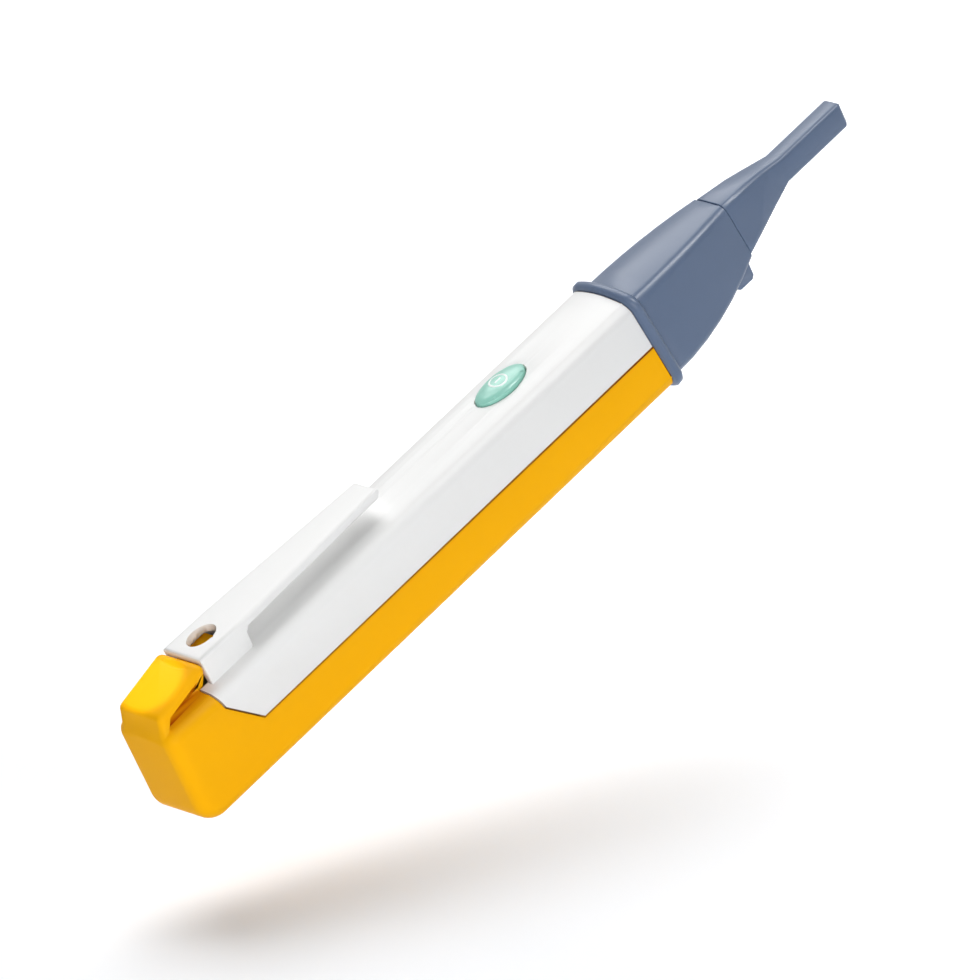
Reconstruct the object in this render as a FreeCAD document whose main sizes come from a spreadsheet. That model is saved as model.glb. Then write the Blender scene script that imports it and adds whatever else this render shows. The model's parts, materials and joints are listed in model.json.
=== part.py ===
import FreeCAD, Part
import os
import re

import Sketcher

# Live fibre detector: a pen-shaped tester with a sensing tip.
# Millimetres. +X runs from the tail to the tip, +Z is up, the origin is under the middle of the pen.

# Driving sizes, each a cell of the sheet.
SIZES = {
    # Lengths of the pieces in line, measured along the underside
    "body_length": 116.1,
    "bead_length": 2.0,
    "nose_length": 24.7,
    "cone_length": 13.3,
    "tip_length": 15.7,
    # Body section
    "body_width": 14.0,
    "body_height": 20.0,
    "crown_radius": 20.0,
    "top_corner": 2.3,
    "bottom_corner": 2.5,
    "shell_wall": 1.5,
    "tail_wall": 2.4,
    "tail_floor_corner": 4.5,
    # Seams: the nose seams lean back by this angle in degrees
    "seam_angle": 6.5,
    "seam_gap": 0.12,
    "parting_height": 9.4,
    "vee_foot": 18.1,
    "vee_knee": 12.3,
    "vee_knee_height": 16.2,
    "vee_top": 11.3,
    # Hood over the tail and the latch tongue in front of it
    "hood_reach": 10.7,
    "hood_width": 10.6,
    "hood_front_rise": 4.3,
    "hood_rear_rise": 2.4,
    "hood_thickness": 1.6,
    "hood_wall": 2.2,
    "hood_setback": 0.3,
    "hood_slot_rear_rise": 0.9,
    "hood_corner": 1.1,
    "notch_length": 6.4,
    "notch_width": 1.5,
    "notch_depth": 0.6,
    "notch_setback": 1.6,
    "tongue_width": 5.8,
    "tongue_rise": 2.8,
    "tongue_thickness": 1.5,
    "tongue_reach": 9.3,
    "tongue_slope": 1.9,
    "tongue_root": 0.8,
    "tongue_clearance": 0.4,
    # Pocket clip
    "clip_width": 9.2,
    "clip_rise": 5.0,
    "clip_root_length": 11.4,
    "clip_root_lean": 1.2,
    "clip_length": 47.5,
    "clip_fall": 0.7,
    "clip_thickness": 1.8,
    "clip_throat": 0.9,
    "clip_sink": 1.4,
    "clip_end_width": 5.6,
    "clip_end_slant": 1.0,
    "clip_corner": 0.7,
    "clip_roof": 1.5,
    "clip_hole_length": 5.6,
    "clip_hole_width": 4.5,
    "clip_hole_place": 6.5,
    # Power key
    "key_setback": 26.9,
    "key_length": 10.8,
    "key_width": 5.8,
    "key_proud": 1.2,
    "key_dome": 1.2,
    "key_gap": 0.2,
    "key_skirt": 0.8,
    "key_skirt_thickness": 0.4,
    "key_stem": 2.4,
    "key_travel": 0.6,
    # Flange bead and nose
    "bead_proud": 0.9,
    "bead_bevel": 0.55,
    "nose_wall": 1.3,
    "nose_base_inset": 0.5,
    "nose_base_corner": 2.2,
    "nose_taper": 1.9,
    "nose_end_width": 8.0,
    "nose_end_lift": 5.8,
    "nose_end_drop": 1.6,
    "nose_end_corner": 1.6,
    "bulkhead_height": 8.2,
    "joint_tongue_length": 6.0,
    "joint_tongue_thickness": 2.0,
    "shelf_length": 7.4,
    "lug_length": 4.2,
    "lug_width": 6.0,
    "lug_drop": 3.6,
    "lug_setback": 1.2,
    "lug_slope": 0.6,
    # Cone and tip tube
    "step_inset": 0.25,
    "step_gap": 0.3,
    "cone_side_taper": 1.35,
    "cone_floor_taper": 0.95,
    "cone_roof_taper": 0.85,
    "tube_width": 3.8,
    "tube_height": 5.1,
    "tube_drop": 0.36,
    "tube_corner": 0.8,
    "tube_end_bevel": 0.6,
    "spigot_length": 6.5,
    "spigot_gap": 0.25,
    "spigot_corner": 1.0,
    # Detector
    "guide_diameter": 1.8,
    "guide_gap": 0.1,
    "guide_recess": 0.2,
    "can_diameter": 3.0,
    "can_length": 3.2,
    "can_rim": 0.2,
    "can_rim_thickness": 0.5,
    "can_gap": 0.15,
    "can_depth": 1.2,
    "lead_diameter": 0.5,
    "lead_pitch": 1.8,
    "lead_lap": 2.6,
    # Batteries and contacts
    "battery_diameter": 10.5,
    "battery_length": 44.5,
    "nub_diameter": 3.8,
    "nub_length": 1.0,
    "seat_gap": 0.05,
    "contact_thickness": 0.4,
    "contact_bow": 4.2,
    "contact_width": 6.0,
    "strip_width": 1.0,
    "strip_thickness": 0.4,
    "strip_place": 4.2,
    "strip_lift": 0.2,
    "rib_thickness": 1.5,
    "rib_width": 7.2,
    # Board and what stands on it
    "board_thickness": 1.0,
    "board_width": 9.6,
    "board_lift": 0.45,
    "board_margin": 1.5,
    "board_end_width": 5.6,
    "board_taper": 14.0,
    "board_end_gap": 0.6,
    "switch_size": 6.0,
    "switch_height": 1.2,
    "plunger_diameter": 2.0,
    "plunger_gap": 0.15,
    "plunger_floor": 0.3,
    "stem_gap": 0.1,
    "press_spare": 0.2,
    "led_length": 2.0,
    "led_width": 1.3,
    "led_height": 0.9,
    "led_place": 4.4,
    "sounder_diameter": 8.4,
    "sounder_height": 2.2,
    "sounder_port": 1.6,
    "sounder_place": 16.0,
    "controller_size": 5.0,
    "controller_place": 24.6,
    "amplifier_size": 3.0,
    "amplifier_place": 6.2,
    "chip_height": 0.9,
    # Screws and bosses
    "boss_diameter": 3.6,
    "boss_spread": 7.0,
    "nose_boss_place": 3.2,
    "post_spread": 5.0,
    "post_place": 4.6,
    "screw_diameter": 1.8,
    "screw_gap": 0.05,
    "screw_bite": 3.6,
    "bore_spare": 0.2,
    "head_diameter": 3.2,
    "head_height": 1.1,
    "head_slot": 0.5,
    "head_slot_depth": 0.5,
}

# Places that follow from the driving sizes, also cells of the sheet.
PLACES = {
    "tail_end": "-(body_length + bead_length + nose_length + cone_length + tip_length) / 2",
    "body_front": "tail_end + body_length",
    "bead_front": "body_front + bead_length",
    "nose_front": "bead_front + nose_length",
    "cone_front": "nose_front + cone_length",
    "tip_end": "cone_front + tip_length",
    "seam_lean": "tan(seam_angle * 1 deg)",
    "body_half": "body_width / 2",
    "body_floor": "bead_proud - bead_bevel * seam_lean",
    "body_roof": "body_floor + body_height",
    "crown_axis": "body_roof - crown_radius",
    "notch_radius": "((notch_length / 2) ^ 2 + notch_depth ^ 2) / (notch_depth * 2)",
    "parting": "body_floor + parting_height",
    "inner_half": "body_half - shell_wall",
    "inner_floor": "body_floor + shell_wall",
    "inner_roof": "body_roof - shell_wall",
    "inner_tail": "tail_end + tail_wall",
    "hood_front": "tail_end + hood_reach",
    "tongue_rear": "tail_end + vee_top",
    "tongue_top": "body_roof + tongue_rise",
    "clip_rear": "hood_front + seam_gap * 2",
    "clip_root_front": "clip_rear + clip_root_length",
    "clip_front": "clip_rear + clip_length",
    "clip_top": "body_roof + clip_rise",
    "key_x": "body_front - key_setback",
    "key_skirt_half": "key_width / 2 + key_skirt",
    "inner_crown": "crown_radius - shell_wall",
    "key_skirt_drop": "inner_crown - sqrt(inner_crown ^ 2 - key_skirt_half ^ 2)",
    "key_skirt_top": "inner_roof - key_skirt_drop - key_gap",
    "key_skirt_bottom": "key_skirt_top - key_skirt_thickness",
    "battery_axis": "inner_floor + seat_gap + battery_diameter / 2",
    "rear_battery_start": "inner_tail + contact_thickness + contact_bow + seat_gap",
    "front_battery_start": "rear_battery_start + battery_length",
    "battery_front": "front_battery_start + battery_length + seat_gap",
    "rib_start": "battery_front + contact_thickness",
    "rib_end": "rib_start + rib_thickness",
    "board_bottom": "inner_floor + seat_gap + battery_diameter + board_lift",
    "board_top": "board_bottom + board_thickness",
    "board_start": "key_x - switch_size / 2 - board_margin",
    "post_x": "body_front + post_place",
    "nose_boss_x": "body_front - nose_boss_place",
    "bulkhead_top": "body_floor + bulkhead_height",
    "joint_tongue_bottom": "bulkhead_top - joint_tongue_thickness",
    "nose_base_half": "body_half - nose_base_inset",
    "nose_base_bottom": "body_floor + nose_base_inset",
    "nose_base_top": "body_roof - nose_base_inset",
    "nose_end_half": "nose_end_width / 2",
    "nose_end_bottom": "body_floor + nose_end_lift",
    "nose_end_top": "body_roof - nose_end_drop",
    "lug_bottom": "nose_end_bottom - lug_drop",
    "guide_axis": "board_top - tube_drop",
    "tube_half": "tube_width / 2",
    "tube_bottom": "guide_axis - tube_height / 2",
    "tube_top": "guide_axis + tube_height / 2",
    "spigot_start": "nose_front - seam_lean * nose_end_top - spigot_length",
    "spigot_half": "nose_end_half - nose_wall - spigot_gap",
    "spigot_bottom": "nose_end_bottom + nose_wall + spigot_gap",
    "spigot_top": "nose_end_top - nose_wall - spigot_gap",
    "can_front": "nose_front + can_depth",
    "can_rear": "can_front - can_length",
    "board_end": "spigot_start - board_end_gap",
    "stem_bottom": "board_top + switch_height + key_travel + press_spare",
    "plunger_top": "stem_bottom - stem_gap",
    "plunger_bottom": "board_top + plunger_floor + key_travel + stem_gap",
}

NAMES = set(SIZES) | set(PLACES)
WORD = re.compile(r"[A-Za-z_]\w*")
# Two places closer than this are the same
TOUCH = 1e-4
# Straight spans that follow the curve of the nose and of the cone
NOSE_SPANS = 6
CONE_SPANS = 3
# Flat facets that round each corner of the cone and the tube
CORNER_FACETS = 3
# How far each ring of the key's dome has turned from the upright, in degrees
KEY_TURNS = (17, 40, 62, 80)

doc = FreeCAD.newDocument("live_fibre_detector")
sheet = doc.addObject("Spreadsheet::Sheet", "sizes")
nodes = []


def fill_sheet():
    """One row for each size or place: its name, its content and the alias."""
    rows = [(name, f"{size:g}") for name, size in SIZES.items()]
    rows += [(name, f"={formula}") for name, formula in PLACES.items()]
    for row, (name, content) in enumerate(rows, start=1):
        sheet.set(f"A{row}", name)
        sheet.set(f"B{row}", content)
        sheet.setAlias(f"B{row}", name)
    doc.recompute()


def cells(formula):
    """The formula with each of its names read from the sheet."""
    return WORD.sub(lambda word: f"sizes.{word[0]}" if word[0] in NAMES else word[0], str(formula))


def bind(owner, path, formula):
    owner.setExpression(path, cells(formula))


def measure(formula):
    return float(sheet.evalExpression(cells(formula)))


def node(shape_object, label):
    """Marks an object as a sub-part with this name."""
    shape_object.Label = label
    nodes.append(shape_object)


# Sketches


def sketch_on(body, name, role, offset="0", tilt=None):
    """A sketch parallel to an origin plane of its body, leaning back by tilt where that is given."""
    sketch = body.newObject("Sketcher::SketchObject", name)
    plane = next(feature for feature in body.Origin.OriginFeatures if feature.Role == role)
    sketch.AttachmentSupport = (plane, "")
    sketch.MapMode = "FlatFace"
    if tilt:
        lean = FreeCAD.Rotation(FreeCAD.Vector(-1, 0, 0), measure(tilt))
        sketch.AttachmentOffset = FreeCAD.Placement(FreeCAD.Vector(), lean)
        bind(sketch, "AttachmentOffset.Rotation.Angle", tilt)
    bind(sketch, "AttachmentOffset.Base.z", offset)
    return sketch


def fix(sketch, kind, geometry, point, formula):
    """Holds one coordinate of a point at a formula."""
    index = sketch.addConstraint(Sketcher.Constraint(kind, -1, 1, geometry, point, measure(formula)))
    bind(sketch, f"Constraints[{index}]", formula)


def fix_radius(sketch, geometry, formula):
    index = sketch.addConstraint(Sketcher.Constraint("Radius", geometry, measure(formula)))
    bind(sketch, f"Constraints[{index}]", formula)


def polygon(sketch, corners):
    """A closed outline of straight lines, each corner held at its two formulas."""
    places = [FreeCAD.Vector(measure(across), measure(up), 0) for across, up in corners]
    first = sketch.GeometryCount
    count = len(corners)
    for n in range(count):
        sketch.addGeometry(Part.LineSegment(places[n], places[(n + 1) % count]), False)
    for n in range(count):
        following = first + (n + 1) % count
        sketch.addConstraint(Sketcher.Constraint("Coincident", first + n, 2, following, 1))
    for n, (across, up) in enumerate(corners):
        fix(sketch, "DistanceX", first + n, 1, across)
        fix(sketch, "DistanceY", first + n, 1, up)


def rectangle(sketch, left, right, bottom, top):
    polygon(sketch, [(left, bottom), (right, bottom), (right, top), (left, top)])


def circle(sketch, across, up, radius):
    centre = FreeCAD.Vector(measure(across), measure(up), 0)
    ring = sketch.addGeometry(Part.Circle(centre, FreeCAD.Vector(0, 0, 1), measure(radius)), False)
    fix(sketch, "DistanceX", ring, 3, across)
    fix(sketch, "DistanceY", ring, 3, up)
    fix_radius(sketch, ring, radius)


def shell_outline(sketch, half, bottom, top, low_corner, high_corner, crown):
    """A housing section: flat floor and sides, crowned roof, and a radius for each pair of corners."""
    side, floor, roof, low, high, dome = map(measure, (half, bottom, top, low_corner, high_corner, crown))
    # The roof arc meets each top corner arc where the line through their centres crosses them
    corner_across = side - high
    corner_up = roof - dome + ((dome - high) ** 2 - corner_across**2) ** 0.5
    reach = dome / (dome - high)
    roof_across = corner_across * reach
    roof_up = roof - dome + (corner_up - roof + dome) * reach
    up_axis = FreeCAD.Vector(0, 0, 1)

    def line(start, end):
        return Part.LineSegment(FreeCAD.Vector(*start, 0), FreeCAD.Vector(*end, 0))

    def arc(centre, start, end):
        centre = FreeCAD.Vector(*centre, 0)
        start = FreeCAD.Vector(*start, 0)
        end = FreeCAD.Vector(*end, 0)
        ring = Part.Circle(centre, up_axis, (start - centre).Length)
        return Part.ArcOfCircle(ring, ring.parameter(start), ring.parameter(end))

    runs = [
        line((low - side, floor), (side - low, floor)),
        arc((side - low, floor + low), (side - low, floor), (side, floor + low)),
        line((side, floor + low), (side, corner_up)),
        arc((corner_across, corner_up), (side, corner_up), (roof_across, roof_up)),
        arc((0, roof - dome), (roof_across, roof_up), (-roof_across, roof_up)),
        arc((-corner_across, corner_up), (-roof_across, roof_up), (-side, corner_up)),
        line((-side, corner_up), (-side, floor + low)),
        arc((low - side, floor + low), (-side, floor + low), (low - side, floor)),
    ]
    around = sketch.addGeometry(runs, False)
    base, low_right, right, high_right, crown_arc, high_left, left, low_left = around
    for run, following in zip(around, (*around[1:], base)):
        sketch.addConstraint(Sketcher.Constraint("Tangent", run, 2, following, 1))
    sketch.addConstraint(Sketcher.Constraint("Horizontal", base))
    sketch.addConstraint(Sketcher.Constraint("Vertical", right))
    sketch.addConstraint(Sketcher.Constraint("Vertical", left))
    for corner in (low_right, low_left):
        fix_radius(sketch, corner, low_corner)
    for corner in (high_right, high_left):
        fix_radius(sketch, corner, high_corner)
    fix_radius(sketch, crown_arc, crown)
    fix(sketch, "DistanceX", right, 1, half)
    fix(sketch, "DistanceX", left, 1, f"-({half})")
    fix(sketch, "DistanceY", base, 1, bottom)
    fix(sketch, "DistanceY", crown_arc, 3, f"({top}) - ({crown})")


def faceted_outline(sketch, half, bottom, top, corner):
    """A rectangle whose corners are rounded by flat facets."""
    turns = [f"{n} * 90 deg / {CORNER_FACETS}" for n in range(CORNER_FACETS + 1)]
    spots = [(f"({corner}) * (1 - cos({turn}))", f"({corner}) * (1 - sin({turn}))") for turn in turns]
    back = spots[::-1]
    polygon(
        sketch,
        [(f"({half}) - {across}", f"({top}) - {up}") for across, up in spots]
        + [(f"{across} - ({half})", f"({top}) - {up}") for across, up in back]
        + [(f"{across} - ({half})", f"({bottom}) + {up}") for across, up in spots]
        + [(f"({half}) - {across}", f"({bottom}) + {up}") for across, up in back],
    )


# Body features


def new_body(name):
    return doc.addObject("PartDesign::Body", name)


def pad(body, sketch, length, both=False, back=False):
    feature = body.newObject("PartDesign::Pad", f"{sketch.Name}_pad")
    feature.Profile = sketch
    feature.SideType = "Symmetric" if both else "One side"
    feature.Reversed = back
    bind(feature, "Length", length)
    sketch.Visibility = False
    doc.recompute()
    return feature


def pocket(body, sketch, length=None, both=False, back=False):
    """Cuts to a depth, or right through where no length is given, and checks that something was cut."""
    before = body.Shape.Volume
    feature = body.newObject("PartDesign::Pocket", f"{sketch.Name}_cut")
    feature.Profile = sketch
    feature.SideType = "Symmetric" if both else "One side"
    feature.Reversed = back
    if length is None:
        feature.Type = "ThroughAll"
    else:
        bind(feature, "Length", length)
    doc.recompute()
    if feature.Shape.Volume >= before:
        raise RuntimeError(f"{feature.Name} cuts nothing")
    return feature


def loft(body, kind, name, sections):
    """Joins sections in order by straight spans."""
    feature = body.newObject(f"PartDesign::{kind}", name)
    feature.Profile = sections[0]
    feature.Sections = sections[1:]
    feature.Ruled = True
    doc.recompute()
    return feature


def dress_edges(body, base, kind, size, wanted):
    """Fillets or chamfers the edges of a feature that the test picks."""
    edges = [f"Edge{n}" for n, edge in enumerate(base.Shape.Edges, start=1) if wanted(edge)]
    feature = body.newObject(f"PartDesign::{kind}", f"{base.Name}_{kind.lower()}")
    feature.Base = (base, edges)
    bind(feature, "Radius" if kind == "Fillet" else "Size", size)
    doc.recompute()
    return feature


def on_plane(axis, formula):
    """A test for edges that lie in a plane across one axis."""
    level = measure(formula)

    def test(edge):
        low, high = (getattr(edge.BoundBox, axis + end) for end in ("Min", "Max"))
        return abs(low - level) < TOUCH and abs(high - level) < TOUCH

    return test


# Primitives and booleans


def place(shape_object, x, y, z):
    for axis, formula in zip("xyz", (x, y, z)):
        bind(shape_object, f"Placement.Base.{axis}", formula)


def box(name, low, high):
    block = doc.addObject("Part::Box", name)
    for size, start, end in zip(("Length", "Width", "Height"), low, high):
        bind(block, size, f"({end}) - ({start})")
    place(block, *low)
    return block


def rod(name, start, diameter, length, along="Z"):
    """A cylinder from its start point along +X or +Z."""
    cylinder = doc.addObject("Part::Cylinder", name)
    if along == "X":
        cylinder.Placement.Rotation = FreeCAD.Rotation(FreeCAD.Vector(0, 1, 0), 90)
    bind(cylinder, "Radius", f"({diameter}) / 2")
    bind(cylinder, "Height", length)
    place(cylinder, *start)
    return cylinder


def oval(name, centre, length, width, height):
    """An upright prism on an ellipse."""
    outline = doc.addObject("Part::Ellipse", f"{name}_outline")
    bind(outline, "MajorRadius", f"({length}) / 2")
    bind(outline, "MinorRadius", f"({width}) / 2")
    place(outline, *centre)
    prism = doc.addObject("Part::Extrusion", name)
    prism.Base = outline
    prism.DirMode = "Custom"
    prism.Dir = FreeCAD.Vector(0, 0, 1)
    prism.Solid = True
    bind(prism, "LengthFwd", height)
    return prism


def fuse(name, shapes):
    joined = doc.addObject("Part::MultiFuse", name)
    joined.Shapes = shapes
    return joined


def cut(name, base, tools):
    result = doc.addObject("Part::Cut", name)
    result.Base = base
    result.Tool = tools[0] if len(tools) == 1 else fuse(f"{name}_tools", tools)
    return result


def common(name, base, tool):
    result = doc.addObject("Part::Common", name)
    result.Base = base
    result.Tool = tool
    return result


def body_section(sketch, inset="0"):
    """The body's own section, moved in all round by an inset."""
    shell_outline(
        sketch,
        f"body_half - ({inset})",
        f"body_floor + ({inset})",
        f"body_roof - ({inset})",
        f"bottom_corner - ({inset})",
        f"top_corner - ({inset})",
        f"crown_radius - ({inset})",
    )


def seam_x(start, height):
    """Where a leaning seam that starts at a place on the underside stands at a height."""
    return f"{start} - seam_lean * ({height})"


# Sub-parts


def bosses(body, name, pair, foot, top):
    """Two bored bosses side by side, from a foot inside the wall up to a seat."""
    x, spread = pair
    sides = (f"{spread} / 2", f"-{spread} / 2")
    posts = sketch_on(body, name, "XY_Plane", foot)
    for y in sides:
        circle(posts, x, y, "boss_diameter / 2")
    pad(body, posts, f"{top} - ({foot})")
    bores = sketch_on(body, f"{name}_bores", "XY_Plane", top)
    for y in sides:
        circle(bores, x, y, "screw_diameter / 2 + screw_gap")
    pocket(body, bores, "screw_bite + bore_spare")


def tail_side(sketch, front):
    """The housing seen from the side: a long block with a rounded lower rear corner."""
    formulas = ("tail_end", "body_floor", "body_roof", front, "tail_floor_corner")
    rear, floor, roof, end, corner = map(measure, formulas)
    bend_start = FreeCAD.Vector(rear, floor + corner, 0)
    bend_end = FreeCAD.Vector(rear + corner, floor, 0)
    ring = Part.Circle(FreeCAD.Vector(rear + corner, floor + corner, 0), FreeCAD.Vector(0, 0, 1), corner)
    low_front = FreeCAD.Vector(end, floor, 0)
    high_front = FreeCAD.Vector(end, roof, 0)
    high_rear = FreeCAD.Vector(rear, roof, 0)
    runs = [
        Part.LineSegment(high_rear, bend_start),
        Part.ArcOfCircle(ring, ring.parameter(bend_start), ring.parameter(bend_end)),
        Part.LineSegment(bend_end, low_front),
        Part.LineSegment(low_front, high_front),
        Part.LineSegment(high_front, high_rear),
    ]
    back, bend, base, face, top = sketch.addGeometry(runs, False)
    sketch.addConstraint(Sketcher.Constraint("Tangent", back, 2, bend, 1))
    sketch.addConstraint(Sketcher.Constraint("Tangent", bend, 2, base, 1))
    for run, following in ((base, face), (face, top), (top, back)):
        sketch.addConstraint(Sketcher.Constraint("Coincident", run, 2, following, 1))
    for upright in (back, face):
        sketch.addConstraint(Sketcher.Constraint("Vertical", upright))
    for level in (base, top):
        sketch.addConstraint(Sketcher.Constraint("Horizontal", level))
    fix_radius(sketch, bend, "tail_floor_corner")
    fix(sketch, "DistanceX", back, 1, "tail_end")
    fix(sketch, "DistanceY", back, 1, "body_roof")
    fix(sketch, "DistanceX", base, 2, front)
    fix(sketch, "DistanceY", base, 2, "body_floor")


def tail_block(body, front):
    """The housing's outer form: rounded along the sides, crowned on top, with a soft tail."""
    side = sketch_on(body, "housing_side", "XZ_Plane")
    tail_side(side, front)
    block = pad(body, side, "body_width", both=True)
    roof, end = measure("body_roof"), measure(front)

    def side_rim(edge):
        """The rear and lower edges of both sides."""
        limits = edge.BoundBox
        return limits.YLength < TOUCH and limits.ZMin < roof - TOUCH and limits.XMin < end - TOUCH

    rounded = dress_edges(body, block, "Fillet", "bottom_corner", side_rim)

    crown = sketch_on(body, "housing_crown", "YZ_Plane")
    reach, axis, radius = measure("body_width"), measure("crown_axis"), measure("crown_radius")
    foot = axis + (radius**2 - reach**2) ** 0.5
    ring = Part.Circle(FreeCAD.Vector(0, axis, 0), FreeCAD.Vector(0, 0, 1), radius)
    right, left = FreeCAD.Vector(reach, foot, 0), FreeCAD.Vector(-reach, foot, 0)
    lift = FreeCAD.Vector(0, reach, 0)
    runs = [
        Part.ArcOfCircle(ring, ring.parameter(right), ring.parameter(left)),
        Part.LineSegment(left, left + lift),
        Part.LineSegment(left + lift, right + lift),
        Part.LineSegment(right + lift, right),
    ]
    arc, left_side, top, right_side = sketch_runs = crown.addGeometry(runs, False)
    for run, following in zip(sketch_runs, (left_side, top, right_side, arc)):
        crown.addConstraint(Sketcher.Constraint("Coincident", run, 2, following, 1))
    for upright in (left_side, right_side):
        crown.addConstraint(Sketcher.Constraint("Vertical", upright))
    crown.addConstraint(Sketcher.Constraint("Horizontal", top))
    fix_radius(crown, arc, "crown_radius")
    fix(crown, "DistanceX", arc, 3, "0")
    fix(crown, "DistanceY", arc, 3, "crown_axis")
    fix(crown, "DistanceX", arc, 1, "body_width")
    fix(crown, "DistanceX", left_side, 1, "-body_width")
    fix(crown, "DistanceY", top, 1, "body_roof + body_width")
    crowned = pocket(body, crown, both=True)

    def roof_rim(edge):
        """The edges of the crowned roof, apart from the open front."""
        spots = [(vertex.Y**2 + (vertex.Z - axis) ** 2) ** 0.5 for vertex in edge.Vertexes]
        return all(abs(spot - radius) < TOUCH for spot in spots) and edge.BoundBox.XMin < end - TOUCH

    dress_edges(body, crowned, "Fillet", "top_corner", roof_rim)


def tail_hood():
    """The hooked hood over the tail, rounded before it joins the housing."""
    body = new_body("tail_hood_body")
    hood = sketch_on(body, "hood", "XZ_Plane")
    hood_root = "body_roof - top_corner - shell_wall"
    polygon(
        hood,
        [
            ("tail_end + hood_setback", hood_root),
            ("tail_end + hood_setback", "body_roof + hood_rear_rise"),
            ("hood_front", "body_roof + hood_front_rise"),
            ("hood_front", "body_roof + hood_front_rise - hood_thickness"),
            ("tail_end + hood_wall", "body_roof + hood_slot_rear_rise"),
            ("tail_end + hood_wall", "body_roof - shell_wall / 2"),
            ("tail_end + tail_wall / 2", hood_root),
        ],
    )
    hood_pad = pad(body, hood, "hood_width", both=True)
    rear_x = measure("tail_end + hood_setback")
    front_x = measure("hood_front")
    rear_top = measure("body_roof + hood_rear_rise")
    front_top = measure("body_roof + hood_front_rise")

    def hood_rim(edge):
        """The edges round the top of the hood and its upright corners."""
        ends = [(abs(vertex.X - rear_x) < TOUCH, vertex.Z) for vertex in edge.Vertexes]
        rear_edge = all(at_rear for at_rear, _ in ends) and max(up for _, up in ends) > rear_top - TOUCH
        top_ends = [rear_top if at_rear else front_top for at_rear, _ in ends]
        on_top = all(abs(up - top) < TOUCH for (_, up), top in zip(ends, top_ends))
        front_corner = edge.BoundBox.XMin > front_x - TOUCH and edge.BoundBox.YLength < TOUCH
        return rear_edge or on_top or front_corner

    dress_edges(body, hood_pad, "Fillet", "hood_corner", hood_rim)
    return body


def nail_notch():
    """The disc that leaves the nail notch in the hood: two cones back to back, with the rim between them."""
    slope = "(hood_front_rise - hood_rear_rise) / hood_reach"
    floor = f"body_roof + hood_front_rise - notch_setback * {slope} - notch_depth"
    halves = []
    for name, turned in (("notch_front", 90), ("notch_rear", -90)):
        half = doc.addObject("Part::Cone", name)
        half.Placement.Rotation = FreeCAD.Rotation(FreeCAD.Vector(0, 1, 0), turned)
        bind(half, "Radius1", "notch_radius")
        bind(half, "Radius2", "notch_radius - notch_depth * 2")
        bind(half, "Height", "notch_width")
        place(half, "hood_front - notch_setback", "0", f"{floor} + notch_radius")
        halves.append(half)
    return halves


def lower_housing():
    """Orange moulding: trough, closed tail, hood, latch tongue, bosses and battery rib."""
    body = new_body("lower_housing_body")
    above = "clip_top + hood_front_rise"
    beyond = "bead_front + bead_length"

    tail_block(body, beyond)

    room = sketch_on(body, "cover_room", "XZ_Plane")
    polygon(
        room,
        [
            ("tail_end + vee_foot", "parting"),
            ("tail_end + vee_knee", "body_floor + vee_knee_height"),
            ("tail_end + vee_top", "body_roof"),
            ("tail_end + vee_top", above),
            (f"{beyond} + bead_length", above),
            (f"{beyond} + bead_length", "-body_floor"),
            (seam_x("body_front", "-body_floor"), "-body_floor"),
            (seam_x("body_front", "parting"), "parting"),
        ],
    )
    pocket(body, room, both=True)

    hollow = sketch_on(body, "housing_hollow", "YZ_Plane", "inner_tail")
    body_section(hollow, "shell_wall")
    pocket(body, hollow, "body_length + bead_length * 2", back=True)

    tongue = sketch_on(body, "latch_tongue", "XZ_Plane")
    polygon(
        tongue,
        [
            ("tongue_rear - tongue_root", "body_roof - tongue_thickness"),
            ("tongue_rear + tongue_root", "body_roof - tongue_thickness"),
            ("tongue_rear + tongue_root + tongue_slope", "tongue_top - tongue_thickness"),
            ("tongue_rear + tongue_reach", "tongue_top - tongue_thickness"),
            ("tongue_rear + tongue_reach", "tongue_top"),
            ("tongue_rear + tongue_slope", "tongue_top"),
            ("tongue_rear", "body_roof - seam_gap"),
            ("tongue_rear - tongue_root", "body_roof - seam_gap"),
        ],
    )
    pad(body, tongue, "tongue_width", both=True)

    rib = sketch_on(body, "battery_rib", "YZ_Plane", "rib_start")
    rib_half = "rib_width / 2"
    rectangle(rib, f"-{rib_half}", rib_half, "body_floor + shell_wall / 2", "board_bottom - seat_gap")
    pad(body, rib, "rib_thickness")

    foot = "body_floor + shell_wall / 2"
    bosses(body, "nose_bosses", ("nose_boss_x", "boss_spread"), foot, "joint_tongue_bottom")

    hooded = fuse("lower_housing_fuse", [body, tail_hood()])
    node(cut("lower_housing_cut", hooded, nail_notch()), "lower_housing")


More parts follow.
